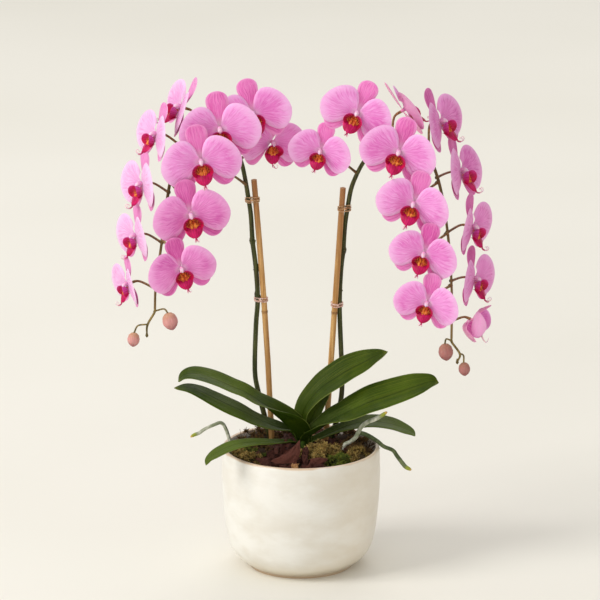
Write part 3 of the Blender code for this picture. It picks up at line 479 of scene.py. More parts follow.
def leaf_shading(name, painted_light):
    """Waxy leaf: olive and dark green, faint veins, a thin yellow-green margin, and painted shade along the
    midrib and by the crown.
    """
    look = Shading(name, 0.36, Specular_IOR_Level=0.26, Specular_Tint=tone(214, 224, 150))
    along, across, front = look.split(look.spot())
    patch = look.noise(20)
    streak = look.noise(1.0, 4.0, 0.6, (2.5, 16.0, 0.0), on_spot=True)
    veins = look.lines(across * 11.0, 0.4)
    body = look.mix(patch.ease(0.35, 0.68), (42, 68, 2), (84, 108, 12))
    body = look.mix(streak.ease(0.42, 0.68, 0.0, 0.5), body, (118, 130, 36))
    body = look.mix(veins * 0.1, body, (24, 42, 8))
    # Painted shade: darker toward the leaf's base, where it comes out of the crown.
    body = look.mix(along.ease(0.08, 0.5, 0.75, 0.0), body, (20, 40, 2))
    # Painted light: the paler copy is lighter, most on the leaf's outer part.
    body = look.mix(along.ease(0.15, 0.6, 0.3 * painted_light, painted_light), body, (126, 148, 60))
    # A darker tone all over, deepened toward the midrib, and a dark line down its middle: the deepening and
    # the line are painted shade in the midrib's groove.
    centre = abs(across)
    crease = look.mix(0.5, body, (20, 34, 6))
    body = look.mix(centre.ease(0.02, 0.07, 0.0, 0.3), crease, body)
    body = look.mix(centre.ease(0.0, 0.035, 0.85, 0.0), body, (18, 30, 6))
    body = look.mix(centre.ease(0.95, 1.0, 0.0, 0.7), body, (146, 156, 78))
    body = look.mix(along.ease(0.86, 0.99, 0.0, 0.6), body, (124, 134, 48))
    body = look.mix(along.ease(0.985, 0.995), body, (74, 58, 34))
    look.roughness(look.noise(60, 4.0).ease(0.3, 0.75, 0.3, 0.5))
    look.bump(streak * 0.8 + veins * 0.15, 0.0006)
    look.two_sided(front, body, look.mix(streak.ease(0.4, 0.7), (34, 54, 6), (58, 80, 18)))


def root_shading():
    """Spongy silvery root, greener in patches, with a yellow-green growing tip."""
    look = Shading("root", 0.72)
    along, shade, _ = look.split(look.spot())
    patch = look.noise(110, 4.0, 0.6).ease(0.38, 0.62)
    skin = look.mix(patch, (214, 214, 196), (146, 154, 124))
    dark = look.mix(patch, (112, 122, 84), (74, 86, 54))
    body = look.mix(along.ease(0.86, 0.93), look.mix(shade, skin, dark), (150, 158, 62))
    look.bump(look.noise(900, 4.0, 0.65), 0.0004)
    look.colour(look.mix(along.ease(0.965, 0.99), body, (196, 160, 84)))


def bud_shading(name, dusk):
    """Closed bud: dusky pink with a darker tip, tan shoulders and magenta seams between its sepals, and a
    share of painted shade all over.
    """
    look = Shading(name, Subsurface_Weight=0.08, Subsurface_Scale=0.002)
    along, seam, _ = look.split(look.spot())
    streak = look.noise(500, stretch=(1.0, 1.0, 0.2))
    body = look.mix(along.ease(0.0, 0.45), (196, 150, 116), (214, 150, 146))
    body = look.mix(along.ease(0.5, 1.0, 0.0, 0.85), body, (142, 78, 88))
    body = look.mix(streak.ease(0.45, 0.7, 0.0, 0.35), body, (234, 188, 176))
    # Painted shade: the whole bud darkened by its dusk share.
    body = look.mix(dusk, body, (132, 74, 66))
    look.bump(streak, 0.0002)
    look.colour(look.mix(seam.ease(0.82, 1.0, 0.0, 0.75), body, (150, 56, 88)))


def glaze_shading():
    """Satin cream glaze: soft grey and tan clouds, faint throwing rings, bare tan clay at rim and foot;
    painted shade at right.
    """
    look = Shading("glaze", 0.3, Specular_IOR_Level=0.4, Coat_Weight=0.15, Coat_Roughness=0.2)
    x, _, height = look.split(look.coordinates())
    cloud = look.noise(16, 4.0, 0.6, (1.0, 1.0, 1.8))
    patch = look.noise(60, 2.0, 0.5, (0.5, 0.5, 1.0))
    body = look.mix(cloud.ease(0.36, 0.68), (238, 236, 229), (229, 225, 215))
    body = look.mix(patch.ease(0.5, 0.75, 0.0, 0.25), body, (218, 211, 196))
    level = height + (look.noise(25) - 0.5) * 0.006
    body = look.mix(level.ease(0.002, 0.026, 0.55, 0.0), body, (218, 202, 172))
    body = look.mix(height.ease(0.0, 0.005, 0.85, 0.0), body, (176, 142, 104))
    body = look.mix(level.ease(0.1335, 0.136, 0.0, 0.85), body, (206, 174, 136))
    # Painted shade: warmer and darker toward the pot's right side.
    painted_shade_right = x + (cloud - 0.5) * 0.06
    look.roughness(cloud.ease(0.35, 0.7, 0.28, 0.38))
    look.bump(look.noise(90, 1.0, stretch=(0.02, 0.02, 1.0)), 0.0004, 0.2)
    look.colour(look.mix(painted_shade_right.ease(0.0, 0.09, 0.0, 0.5), body, (222, 206, 178)))


def chip_shading():
    """Pine bark: layered reddish brown, some chips purplish and some tan."""
    look = Shading("bark_chip", 0.8)
    _, _, kind = look.split(look.spot())
    layers = look.noise(3.0, 4.0, 0.65, (1.5, 9.0, 1.0), on_spot=True)
    fine = look.noise(500, 4.0, 0.65)
    brown = look.mix(layers.ease(0.35, 0.68), (50, 26, 22), (98, 54, 42))
    brown = look.mix(fine.ease(0.5, 0.7, 0.0, 0.6), brown, (40, 22, 20))
    brown = look.mix(kind.ease(0.45, 0.75, 0.0, 0.35), brown, (120, 68, 54))
    tan = look.mix(fine.ease(0.4, 0.65), (206, 158, 106), (160, 110, 70))
    look.bump(layers * 1.2 + fine, 0.0009)
    look.colour(look.mix(kind.ease(0.93, 0.95), brown, tan))


def moss_shading(name, light, mid, dark):
    look = Shading(name, 0.85, Subsurface_Weight=0.05, Subsurface_Scale=0.001)
    along, pick, _ = look.split(look.spot())
    body = look.mix(pick.ease(0.15, 0.7) * along.ease(0.3, 0.9), mid, light)
    body = look.mix(look.noise(130).ease(0.42, 0.62, 0.0, 0.5), body, dark)
    # Painted shade: darker toward each sprig's base, down among the tufts.
    look.colour(look.mix(along.ease(0.1, 0.6, 0.9, 0.0), body, dark))


def grain_shading(name, roughness, grain, shares, first, second, relief=0.0, **constants):
    """Two tones that follow a grain, with a relief of that depth in metres; grain is the noise's inputs."""
    look = Shading(name, roughness, **constants)
    streak = look.noise(**grain)
    if relief:
        look.bump(streak, relief)
    look.colour(look.mix(streak.ease(*shares), first, second))


RAFFIA_GRAIN = {"scale": 6.0, "roughness": 0.6, "stretch": (3.0, 40.0, 1.0), "on_spot": True}
# For petals and sepals: number of streaks, and the tones of face, blush, margin, veins and back.
PETAL_TONES = {
    "petal": (6.0, (240, 152, 217), (227, 122, 197), (247, 196, 236), (206, 82, 168), (242, 174, 216)),
    "sepal": (3.5, (236, 128, 196), (218, 92, 172), (244, 170, 216), (186, 48, 142), (232, 150, 190)),
    # The deeper copies of petal and sepal are painted shade, and the paler copies painted light.
    "petal_shaded": (6.0, (236, 140, 206), (218, 106, 184), (246, 182, 226), (190, 66, 150), (236, 160, 206)),
    "sepal_shaded": (3.5, (222, 108, 180), (202, 74, 156), (236, 150, 204), (170, 40, 128), (222, 140, 180)),
    "petal_lit": (6.0, (238, 178, 224), (230, 154, 210), (243, 208, 238), (208, 98, 174), (238, 178, 216)),
    "sepal_lit": (3.5, (232, 142, 200), (218, 108, 178), (240, 178, 218), (190, 60, 146), (230, 154, 190)),
}
# Light, middle and dark; the dark is also the painted shade low among the tufts.
MOSS_TONES = {
    "moss_gold": ((190, 162, 96), (126, 104, 48), (42, 33, 15)),
    "moss_green": ((120, 128, 46), (74, 88, 26), (26, 32, 10)),
    "moss_brown": ((124, 98, 56), (88, 66, 36), (38, 26, 16)),
}
# Dark and light.
RAFFIA_TONES = {
    "raffia_tan": ((176, 134, 88), (226, 196, 150)),
    "raffia_pink": ((204, 160, 140), (240, 214, 200)),
}
BRACT_GRAIN = {"scale": 700, "stretch": (1.0, 1.0, 0.08)}
STALK_GRAIN = {"scale": 500, "detail": 2.0, "stretch": (1.0, 1.0, 0.2)}
CROWN_GRAIN = {"scale": 240, "stretch": (1.0, 1.0, 0.15)}
SOIL_GRAIN = {"scale": 420, "detail": 5.0, "roughness": 0.7}
# Materials of two tones: name, roughness, grain, shares of it where they part, the tones, and relief.
GRAINS = [
    ("bract", 0.6, BRACT_GRAIN, (0.4, 0.65), (92, 72, 44), (156, 132, 88)),
    ("stalk", 0.5, STALK_GRAIN, (0.35, 0.65), (88, 78, 42), (150, 128, 78)),
    ("crown", 0.65, CROWN_GRAIN, (0.35, 0.7), (26, 46, 2), (72, 100, 18)),
    ("soil", 0.95, SOIL_GRAIN, (0.4, 0.65), (30, 20, 15), (74, 52, 38), 0.002),
    ("twig", 0.85, {"scale": 600}, (0.4, 0.6), (40, 28, 20), (88, 66, 44)),
]


def make_looks():
    for name, tones in PETAL_TONES.items():
        petal_shading(name, *tones)
    for name, tones in MOSS_TONES.items():
        moss_shading(name, *tones)
    for name, tones in RAFFIA_TONES.items():
        grain_shading(name, 0.75, RAFFIA_GRAIN, (0.35, 0.65), *tones, 0.0003, Sheen_Weight=0.1)
    for row in GRAINS:
        grain_shading(*row)
    leaf_shading("leaf", 0.0)
    # A paler copy of the leaf: painted light.
    leaf_shading("leaf_lit", 0.5)
    bud_shading("bud", 0.08)
    # A darker copy of the bud: painted shade.
    bud_shading("bud_shaded", 0.55)
    cup_shading()
    mid_lobe_shading()
    callus_shading()
    column_shading()
    tendril_shading()
    stem_shading()
    bamboo_shading()
    root_shading()
    glaze_shading()
    chip_shading()


make_looks()


# Mesh building.

SHARP_EDGE = math.radians(48)
BLADE_ROOT = 12  # a blade has its full thickness from one part in so many of its length
TUBE_CAP = 0.3  # how far a tube's rounded end stands out, in radii


class Piece:
    """Collects the points, faces and spots of one piece, and makes its object."""

    def __init__(self, name, looks):
        self.name = name
        self.looks = looks
        self.points = []
        self.faces = []
        self.spots = []
        self.slots = []
        self.count = 0

    def add(self, points, faces, spots, look):
        points = np.asarray(points).reshape(-1, 3)
        self.faces += [tuple(int(index) + self.count for index in face) for face in faces]
        self.slots += [self.looks.index(look)] * len(faces)
        self.points.append(points)
        self.spots.append(np.broadcast_to(np.asarray(spots, float).reshape(-1, 3), points.shape))
        self.count += len(points)

    def make(self, replaces=(), weld=0.001 * MM, smooth=True):
        mesh = bpy.data.meshes.new(self.name)
        mesh.from_pydata(np.concatenate(self.points).tolist(), [], self.faces)
        mesh.attributes.new("spot", "FLOAT_VECTOR", "POINT").data.foreach_set(
            "vector", np.concatenate(self.spots).ravel()
        )
        mesh.polygons.foreach_set("material_index", self.slots)
        for look in self.looks:
            mesh.materials.append(LOOKS[look])
        tidy = bmesh.new()
        tidy.from_mesh(mesh)
        bmesh.ops.remove_doubles(tidy, verts=tidy.verts[:], dist=weld)
        bmesh.ops.recalc_face_normals(tidy, faces=tidy.faces[:])
        for face in tidy.faces:
            face.smooth = smooth
        for edge in tidy.edges:
            edge.smooth = edge.calc_face_angle(0.0) < SHARP_EDGE
        tidy.to_mesh(mesh)
        tidy.free()
        obj = bpy.data.objects.new(self.name, mesh)
        bpy.context.scene.collection.objects.link(obj)
        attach(obj, "root")
        if replaces:
            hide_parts(*replaces)
        return obj


def moved(points, matrix):
    if matrix is None:
        return points
    matrix = np.array(matrix)
    return points @ matrix[:3, :3].T + matrix[:3, 3]


def unit(vectors):
    lengths = np.linalg.norm(vectors, axis=-1, keepdims=True)
    return vectors / np.maximum(lengths, 1e-12)


def doubled_ends(rows):
    return np.concatenate([rows[:1], rows, rows[-1:]])


def grid_faces(rows, columns):
    """Quads of a grid of (rows + 1) by (columns + 1) points."""
    first = (np.arange(rows)[:, None] * (columns + 1) + np.arange(columns)[None, :]).ravel()
    return np.stack([first, first + 1, first + columns + 2, first + columns + 1], axis=1)


def grid(top, left, rows, columns):
    """Shares down the rows, from top to 1, and across the columns, from left to 1."""
    return np.meshgrid(np.linspace(top, 1, rows + 1), np.linspace(left, 1, columns + 1), indexing="ij")


def blade(piece, look, rows, columns, place, thickness, toward, matrix=None, rim=6):
    """A closed blade of lens section round place(along, across), its face turned toward a direction."""
    along, across = grid(0, -1, rows, columns)
    middle = place(along, across)
    normal = unit(np.cross(np.gradient(middle, axis=0), np.gradient(middle, axis=1)))
    normal *= np.where((normal @ np.array(toward, float))[..., None] < 0, -1, 1)
    fall = np.clip((1 - np.abs(across) ** rim) * (1 - along ** (2 * rim)), 0, 1)
    plump = np.sqrt(fall) * np.minimum(1, along * BLADE_ROOT)
    offset = normal * (thickness / 2 * plump)[..., None]
    faces = grid_faces(rows, columns)
    for side in (1, -1):
        shown = np.where(plump > 0, 1.0 if side > 0 else 0.0, 0.5)
        points = moved((middle + side * offset).reshape(-1, 3), matrix)
        piece.add(points, faces[:, ::side], stacked(along, across, shown), look)


def tube(piece, look, points, radii, sides=10, spots=None, flatten=1.0, matrix=None, closed=False):
    """A tube along the points with a radius at each and rounded ends. spots gives each ring's spot."""
    points = np.asarray(points, float)
    radii = np.broadcast_to(np.asarray(radii, float), len(points))
    if closed:
        tangents = unit(np.roll(points, -1, 0) - np.roll(points, 1, 0))
    else:
        tangents = unit(np.gradient(points, axis=0))
    upright = np.array((0.0, 0.0, 1.0) if abs(tangents[0][2]) < 0.9 else (0.0, 1.0, 0.0))
    sideways = []
    for tangent in tangents:
        upright = unit(upright - tangent * (upright @ tangent))
        sideways.append(upright)
    sideways = np.array(sideways)
    across = np.cross(tangents, sideways)
    if not closed:
        points, sideways, across = doubled_ends(points), doubled_ends(sideways), doubled_ends(across)
        points[0] -= tangents[0] * radii[0] * TUBE_CAP
        points[-1] += tangents[-1] * radii[-1] * TUBE_CAP
        radii = np.concatenate([[0.0], radii, [0.0]])
    angle = np.linspace(0, 2 * np.pi, sides + 1)[None, :, None]
    ring = sideways[:, None, :] * np.cos(angle) * flatten + across[:, None, :] * np.sin(angle)
    skin = points[:, None, :] + ring * radii[:, None, None]
    if closed:
        skin = np.concatenate([skin, skin[:1]])
    if spots is None:
        spots = stacked(np.linspace(0, 1, len(skin)), 0.0, 0.0)
    elif not closed:
        spots = doubled_ends(np.asarray(spots, float))
    spots = np.broadcast_to(spots[:, None, :], skin.shape)
    piece.add(moved(skin.reshape(-1, 3), matrix), grid_faces(len(skin) - 1, sides), spots, look)


def catmull(points, per_span):
    """Points on a smooth curve through the given rows, per_span of them for each span."""
    points = np.asarray(points, float)
    padded = np.concatenate([[2 * points[0] - points[1]], points, [2 * points[-1] - points[-2]]])
    found = []
    for index in range(1, len(padded) - 2):
        before, start, end, after = padded[index - 1 : index + 3]
        for step in range(per_span):
            u = step / per_span
            bend = (2 * before - 5 * start + 4 * end - after) * u**2
            twist = (3 * start - before - 3 * end + after) * u**3
            found.append(0.5 * (2 * start + (end - before) * u + bend + twist))
    return np.array([*found, points[-1]])


def bezier(start, start_pull, end_pull, end, count):
    """A curve of that many steps from start to end, drawn toward the two pulls on its way."""
    u = np.linspace(0, 1, count + 1)[:, None]
    pulls = 3 * u * (1 - u) ** 2 * start_pull + 3 * u * u * (1 - u) * end_pull
    return (1 - u) ** 3 * start + pulls + u**3 * end


def spread(count, values, places=None):
    """That many numbers which pass the values at their shares of the way, or evenly without places."""
    places = np.linspace(0, 1, len(values)) if places is None else places
    return np.interp(np.linspace(0, 1, count), places, values)


def ripple(points, scale, seed):
    """A smooth value from -1 to 1 at each point: a few seeded waves in random directions."""
    chance = np.random.default_rng(seed)
    total = np.zeros(points.shape[:-1])
    for _ in range(5):
        direction = chance.normal(size=3)
        total += np.sin(points @ unit(direction) * scale + chance.uniform(0, 6.28))
    return total / 5


# Flowers. A flower's own frame has its face to -Y, +Z to its dorsal sepal and its origin where the
# petals meet.

FACE = (0, -1, 0)
PETAL_GRID = (20, 30)
SEPAL_GRID = (16, 12)
PETAL_RIM = 12  # how far out a petal keeps its thickness: higher is further
CUP_THICKNESS = 0.8 * MM
LOBE_THICKNESS = 1.0 * MM


def petal_reach(across):
    """How far a petal's margin is from its root, from its lower corner at -1 to its upper at 1."""
    upper = across > PETAL_PEAK
    offset = across - PETAL_PEAK
    share = np.where(upper, offset / (1 - PETAL_PEAK), -offset / (1 + PETAL_PEAK))
    falls = (PETAL_UPPER_FALL, PETAL_LOWER_FALL)
    falls = [sum(amount * share**power for amount, power in fall) for fall in falls]
    return PETAL_REACH * (1 - np.where(upper, *falls))


def petal_spot(along, across):
    """A point of the petal laid flat: how far out from the flower's middle line it is, and how high."""
    angle = np.radians(PETAL_LOW_ANGLE + (PETAL_HIGH_ANGLE - PETAL_LOW_ANGLE) * (across + 1) / 2)
    reach = petal_reach(across) * along
    return reach * np.cos(angle), reach * np.sin(angle)


def petal_place(side, seed):
    """A broad petal with a gently waved margin, on the flower's right for side 1 and left for -1."""
    chance = random.Random(seed)
    phase, waves = chance.uniform(0, 6.28), chance.uniform(2.2, 3.2)
    height = chance.uniform(0.5, 1.0) * MM

    def place(along, across):
        out, up = petal_spot(along, across)
        bulge = PETAL_BULGE * (np.sin(math.pi * 0.85 * along) - 0.75 * across**2 * along)
        sweep = out * math.tan(math.radians(PETAL_SWEEP))
        wave = height * along**3 * np.sin(waves * across + phase)
        return stacked((out + PETAL_ROOT) * side, -bulge - sweep + wave, up)

    return place


def sepal_half_width(along):
    """Half a sepal's width at that share of its length: narrow at its base, widest past the middle."""
    return SEPAL_WIDTH / 2 * 1.75 * along**0.9 * np.clip(1 - along**3.6, 0, 1) ** 0.55


def sepal_place(angle, depth, lean, seed):
    turn = np.array(Matrix.Rotation(math.radians(angle), 3, "Y"))
    chance = random.Random(seed)
    phase, height = chance.uniform(0, 6.28), chance.uniform(0.3, 0.7) * MM

    def place(along, across):
        stretch = 1 - (1 - along) ** 1.7
        behind = depth + lean * stretch + SEPAL_CUP * across**2 * stretch * (1 - stretch)
        behind = behind + height * stretch**2 * (1 - stretch) * 4 * np.sin(3 * across + phase)
        return stacked(sepal_half_width(stretch) * across, behind, SEPAL_LENGTH * stretch) @ turn.T

    return place


def add_column(piece, sepal, matrix):
    """The receptacle behind the flower and the column in front, with its rounded anther cap."""
    hub = mm([(0, 6, 0), (0, 4, 0), (0, 2, 0), (0, 0, 0)])
    tube(piece, sepal, hub, mm([1.5, 2.0, 2.2, 1.8]), spots=[(0.5, 0.5, 0.0)] * 4, matrix=matrix)
    route = mm([
        (0, 0.5, 0.4), (0, -2.0, 0.8), (0, -4.4, 0.7), (0, -6.4, -0.3), (0, -7.4, -1.7), (0, -7.6, -3.3),
    ])
    radii = spread(11, mm([2.4, 2.6, 2.7, 2.6, 2.3, 1.1]))
    tube(piece, "column", catmull(route, 2), radii, sides=14, matrix=matrix)


def cup_place(side):
    """Half of the lip's bowl, from deep in the throat to an upright rounded lobe."""

    def place(along, across):
        # From below the throat's middle, round the side, to above it.
        angle = np.radians(90 + 86 * across)
        # The rim is nearer the middle at its top and bottom, and stands forward most at the side.
        top = np.clip(across, 0, 1)
        low = np.clip(-across, 0, 1)
        rim = mm(11.0) - mm(1.4) * top**3 - mm(3.2) * top**8 - mm(3.4) * low**1.5
        reach = rim * (along**0.62 - 0.08 * along**5)
        lobe = np.clip(1 - (across - 0.2) ** 2, 0, 1) ** 0.85
        depth = mm(2.0) + along**1.3 * (mm(2.6) + mm(9.4) * lobe)
        x = (1.14 * reach * np.sin(angle) + mm(0.1)) * side
        return stacked(x, -depth, mm(-9.4) - reach * np.cos(angle))

    return place


def mid_lobe_place(along, across):
    """The lip's front lobe: broad shoulders that narrow to a blunt point, with the edges bent back."""
    half = mm(12.2) * np.clip(1 - along**5, 0, 1) ** 0.6
    half = half * (1 - 0.45 * (1 - along) ** 7) * (1 - 0.38 * along)
    centre = mm(0.8) * np.exp(-((across * 4) ** 2))
    y = mm(-4.8) - mm(10.2) * along**0.45 + mm(3.2) * across**2 * (1 - 0.4 * along) - centre
    z = mm(-12.8) - mm(11.8) * along**1.25 + mm(0.8) * across**2 * (1 - along)
    return stacked(half * across, y, z)


# Points in mm in the flower's own frame: a tendril of the lip, and the one of the half-open flower.
TENDRIL_ROUTE = [
    (0.5, -14.6, -24.8), (1.0, -16.8, -26.4), (1.6, -19.6, -27.0), (2.3, -22.0, -25.6),
    (2.6, -22.4, -23.4), (2.4, -21.0, -22.0), (2.0, -19.6, -22.6), (1.8, -19.4, -24.0),
]
HALF_OPEN_TENDRIL = [(0, -5, -1.5), (0, -16, -15), (0, -27, -25.5), (0, -31, -24), (0, -31, -17)]
# The crest's ridges, and where its strands end.
RIDGE_ROUTE = [(0.9, -3.0, -4.6), (1.8, -5.2, -8.2), (2.2, -7.6, -11.6), (1.5, -9.8, -14.4)]
STRAND_ENDS = [(5.4, -7.4, -6.0), (7.0, -8.0, -9.0), (3.4, -5.6, -3.6)]


def add_tendrils(piece, matrix, seed):
    chance = random.Random(seed)
    for side in (1, -1):
        lift = chance.uniform(-0.6, 0.8)
        route = mm(TENDRIL_ROUTE) * (side, 1, 1)
        route[2:, 2] += lift * MM
        curve = catmull(route, 4)
        tube(piece, "tendril", curve, np.linspace(0.75, 0.3, len(curve)) * MM, sides=6, matrix=matrix)


def add_callus(piece, matrix):
    """The crest in the lip's throat: two ridges, a rounded front, and strands that spread up both sides."""
    radii = spread(10, mm([1.1, 1.9, 2.4, 1.4]))
    for side in (1, -1):
        tube(piece, "callus", catmull(mm(RIDGE_ROUTE) * (side, 1, 1), 3), radii, matrix=matrix)
        for end in STRAND_ENDS:
            strand = mm([(1.6, -8.6, -13.0), (0.8 * end[0], -7.8, -11.8), end]) * (side, 1, 1)
            tube(piece, "callus", catmull(strand, 4), np.linspace(0.7, 0.3, 9) * MM, sides=6, matrix=matrix)


def bloom_matrix(row):
    """Where a flower stands: yaw turns it to its left, pitch lifts its face, roll turns it clockwise."""
    _, centre, yaw, pitch, roll, size, _, _ = row
    turn = Matrix.Rotation(math.radians(yaw), 4, "Z")
    lift = Matrix.Rotation(math.radians(-pitch), 4, "X")
    spin = Matrix.Rotation(math.radians(roll), 4, "Y")
    return Matrix.Translation(Vector(centre) * MM) @ turn @ lift @ spin @ Matrix.Scale(size, 4)


# Blooms that take the deeper copies, painted shade, and blooms that take the paler ones, painted light.
SHADED_BLOOMS = ("left_5", "left_6", "right_8", "right_9", "right_10", "right_11")
LIT_BLOOMS = ("left_7", "left_8", "left_9", "left_10", "left_11")


def bloom_looks(name):
    """The looks of a bloom's petals and sepals: some blooms are deeper in tone, painted shade, and some
    paler, painted light.
    """
    shade = "_shaded" if name in SHADED_BLOOMS else "_lit" if name in LIT_BLOOMS else ""
    return "petal" + shade, "sepal" + shade


def make_bloom(row, seed):
    matrix = bloom_matrix(row)
    petal, sepal = bloom_looks(row[0])
    bloom = Piece("flower_" + row[0], [petal, sepal, "column"])
    for side in (1, -1):
        place = petal_place(side, seed * 10 + side)
        blade(bloom, petal, *PETAL_GRID, place, PETAL_THICKNESS, FACE, matrix, PETAL_RIM)
    angles = ((0, DORSAL_LEAN), (LATERAL_SEPAL_ANGLE, LATERAL_LEAN), (-LATERAL_SEPAL_ANGLE, LATERAL_LEAN))
    for index, ((angle, lean), depth) in enumerate(zip(angles, SEPAL_DEPTHS)):
        place = sepal_place(angle, depth, lean, seed * 10 + 3 + index)
        blade(bloom, sepal, *SEPAL_GRID, place, PETAL_THICKNESS, FACE, matrix, PETAL_RIM)
    add_column(bloom, sepal, matrix)
    bloom.make(["bloom_" + row[0]])
    lip = Piece("lip_of_" + row[0], ["cup", "mid_lobe", "callus", "tendril"])
    for side in (1, -1):
        blade(lip, "cup", 14, 18, cup_place(side), CUP_THICKNESS, FACE, matrix)
    blade(lip, "mid_lobe", 16, 14, mid_lobe_place, LOBE_THICKNESS, FACE, matrix)
    add_callus(lip, matrix)
    add_tendrils(lip, matrix, seed)
    lip.make(["lip_" + row[0]])


def curl(length, radius):
    """How far out and how far forward a length ends when it's bent to that radius."""
    return radius * np.sin(length / radius), radius * (1 - np.cos(length / radius))


def make_half_open(row):
    """The flower that is still opening: its petals curl round the lip, and its sepals bag out behind."""
    matrix = bloom_matrix(row)
    piece = Piece("flower_half_open", ["petal", "sepal", "column", "tendril"])
    for side in (1, -1):

        def petal_at(along, across, side=side):
            out, up = petal_spot(along, across)
            out, forward = curl(0.8 * out, HALF_OPEN_PETAL_CURL)
            return stacked((out + PETAL_ROOT) * side, -forward, 0.75 * up)

        blade(piece, "petal", 18, 26, petal_at, PETAL_THICKNESS, (-side, -1, 0), matrix, PETAL_RIM)
    sepals = (
        (0, SEPAL_DEPTHS[0], HALF_OPEN_DORSAL_CURL, 0.0),
        (HALF_OPEN_LATERAL_ANGLE, SEPAL_DEPTHS[1], HALF_OPEN_LATERAL_CURL, HALF_OPEN_LATERAL_BELLY),
        (-HALF_OPEN_LATERAL_ANGLE, SEPAL_DEPTHS[2], HALF_OPEN_LATERAL_CURL, HALF_OPEN_LATERAL_BELLY),
    )
    for angle, depth, radius, belly in sepals:
        turn = np.array(Matrix.Rotation(math.radians(angle), 3, "Y"))

        def sepal_at(along, across, turn=turn, depth=depth, radius=radius, belly=belly):
            out, forward = curl(SEPAL_LENGTH * along, radius)
            swell = np.sin(math.pi * along)
            behind = depth - forward + belly * swell - HALF_OPEN_HOOD * across**2 * swell
            return stacked(sepal_half_width(along) * across, behind, out) @ turn.T

        blade(piece, "sepal", *SEPAL_GRID, sepal_at, PETAL_THICKNESS, FACE, matrix, PETAL_RIM)
    add_column(piece, "sepal", matrix)
    tendril = catmull(mm(HALF_OPEN_TENDRIL), 4)
    tube(piece, "tendril", tendril, np.linspace(2.0, 0.4, 17) * MM, sides=8, matrix=matrix)
    piece.make(["half_open_right_12"])


# Spikes with their stalks, and the buds at their ends.

BROWN_FROM = 460 * MM  # a spike turns from green to brown above this height
BROWN_AT_TIP = 0.6
BUD_GRID = (18, 36)

def stalk_start(points, part, height):
    """The spike's point at that height, on its rising or falling stretch, or near its top."""
    peak = int(np.argmax(points[:, 2]))
    if part == "top":
        near = points[peak - 2 : peak + 3]
        return near[np.argmin(np.abs(near[:, 2] - height * MM))]
    stretch = points[: peak + 1] if part == "rise" else points[peak:]
    for first, second in zip(stretch, stretch[1:]):
        low, high = sorted((first[2], second[2]))
        if low <= height * MM <= high:
            return first + (second - first) * (height * MM - first[2]) / (second[2] - first[2])
    return stretch[np.argmin(np.abs(stretch[:, 2] - height * MM))]


def stalk_route(row, points):
    """From the spike to the back of the flower, which it meets straight on."""
    start = stalk_start(points, *row[6:])
    matrix = np.array(bloom_matrix(row))
    end = moved(np.array((0, HUB_BACK - 1.0 * MM, 0)), matrix)
    back = unit(matrix[:3, :3] @ np.array((0, 1, 0)))
    reach = np.linalg.norm(end - start)
    lift = start + (end - start) * 0.3 + np.array((0, 0, 0.04 * reach))
    bend = end + back * 5 * MM
    curve = bezier(start, lift, bend + back * 0.15 * reach, bend, 9)
    return np.concatenate([curve, [end]])


def make_spike(name, node, route, rows, bracts):
    rough = mm([row[:3] for row in route])
    points = catmull(rough, 4)
    factors = catmull([[row[3]] for row in route], 4)[:, 0]
    brown = np.clip((points[:, 2] - BROWN_FROM) / 0.2, 0, 0.3)
    peak = int(np.argmax(points[:, 2]))
    brown[peak:] = np.linspace(brown[peak], BROWN_AT_TIP, len(points) - peak)
    piece = Piece(name, ["stem", "bract"])
    tube(piece, "stem", points, SPIKE_RADIUS * factors, sides=16, spots=stacked(0.0, 0.0, brown))
    for row in rows:
        curve = stalk_route(row, rough)
        radii = PEDICEL_RADIUS * spread(len(curve), (1.5, 1.05, 1.0, 1.3), (0, 0.12, 0.8, 1.0))
        tube(piece, "stem", curve, radii, spots=stacked(0.0, 0.0, spread(len(curve), (0.55, 1.0))))
        add_bract(piece, curve[0], curve[1] - curve[0], 2.2 * MM, 5 * MM)
    for height, facing in bracts:
        at = stalk_start(points, "rise", height)
        add_bract(piece, at, np.array((facing * 0.35, -0.5, 1.0)), 3.3 * MM, 9 * MM)
    piece.make([node])


def add_bract(piece, spot, direction, radius, length):
    """A small pointed sheath that wraps a joint of the stem."""
    direction = unit(np.array(direction, float))
    side = unit(np.cross(direction, (0.0, 1.0, 0.2)))
    out = np.cross(side, direction)

    def place(along, across):
        half = radius * (1 - along**1.6) * 1.5
        bend = across * half / radius
        around = np.sin(bend)[..., None] * side + np.cos(bend)[..., None] * out
        rise = direction * (length * (along - 0.25))[..., None]
        return spot + around * (radius * (1 + 0.15 * along))[..., None] + rise

    blade(piece, "bract", 6, 6, place, 0.5 * MM, out)


def bud_rings(top, tip, length, width):
    """An egg with three shallow seams that hangs from its stalk and ends in a blunt point."""
    axis = unit(tip - top)
    side = unit(np.cross(axis, (0.0, 1.0, 0.0)))
    front = np.cross(side, axis)
    share = np.linspace(0, 1, BUD_GRID[0] + 1)
    angle = np.linspace(0, 2 * np.pi, BUD_GRID[1] + 1)
    places = (0, 0.04, 0.2, 0.45, 0.62, 0.8, 0.93, 1.0)
    profile = spread(len(share), (0, 0.42, 0.84, 1.0, 0.96, 0.72, 0.36, 0), places)
    seam = np.exp(-(((np.mod(angle * 3 / (2 * np.pi) + 0.18, 1) - 0.5) / 0.06) ** 2))
    reach = width / 2 * profile[:, None] * (1 - 0.06 * seam[None, :])
    ring = np.cos(angle)[:, None] * side + np.sin(angle)[:, None] * front
    points = top + axis * (length * share)[:, None, None] + ring[None] * reach[..., None]
    return points, stacked(share[:, None], seam[None, :], 0.0)


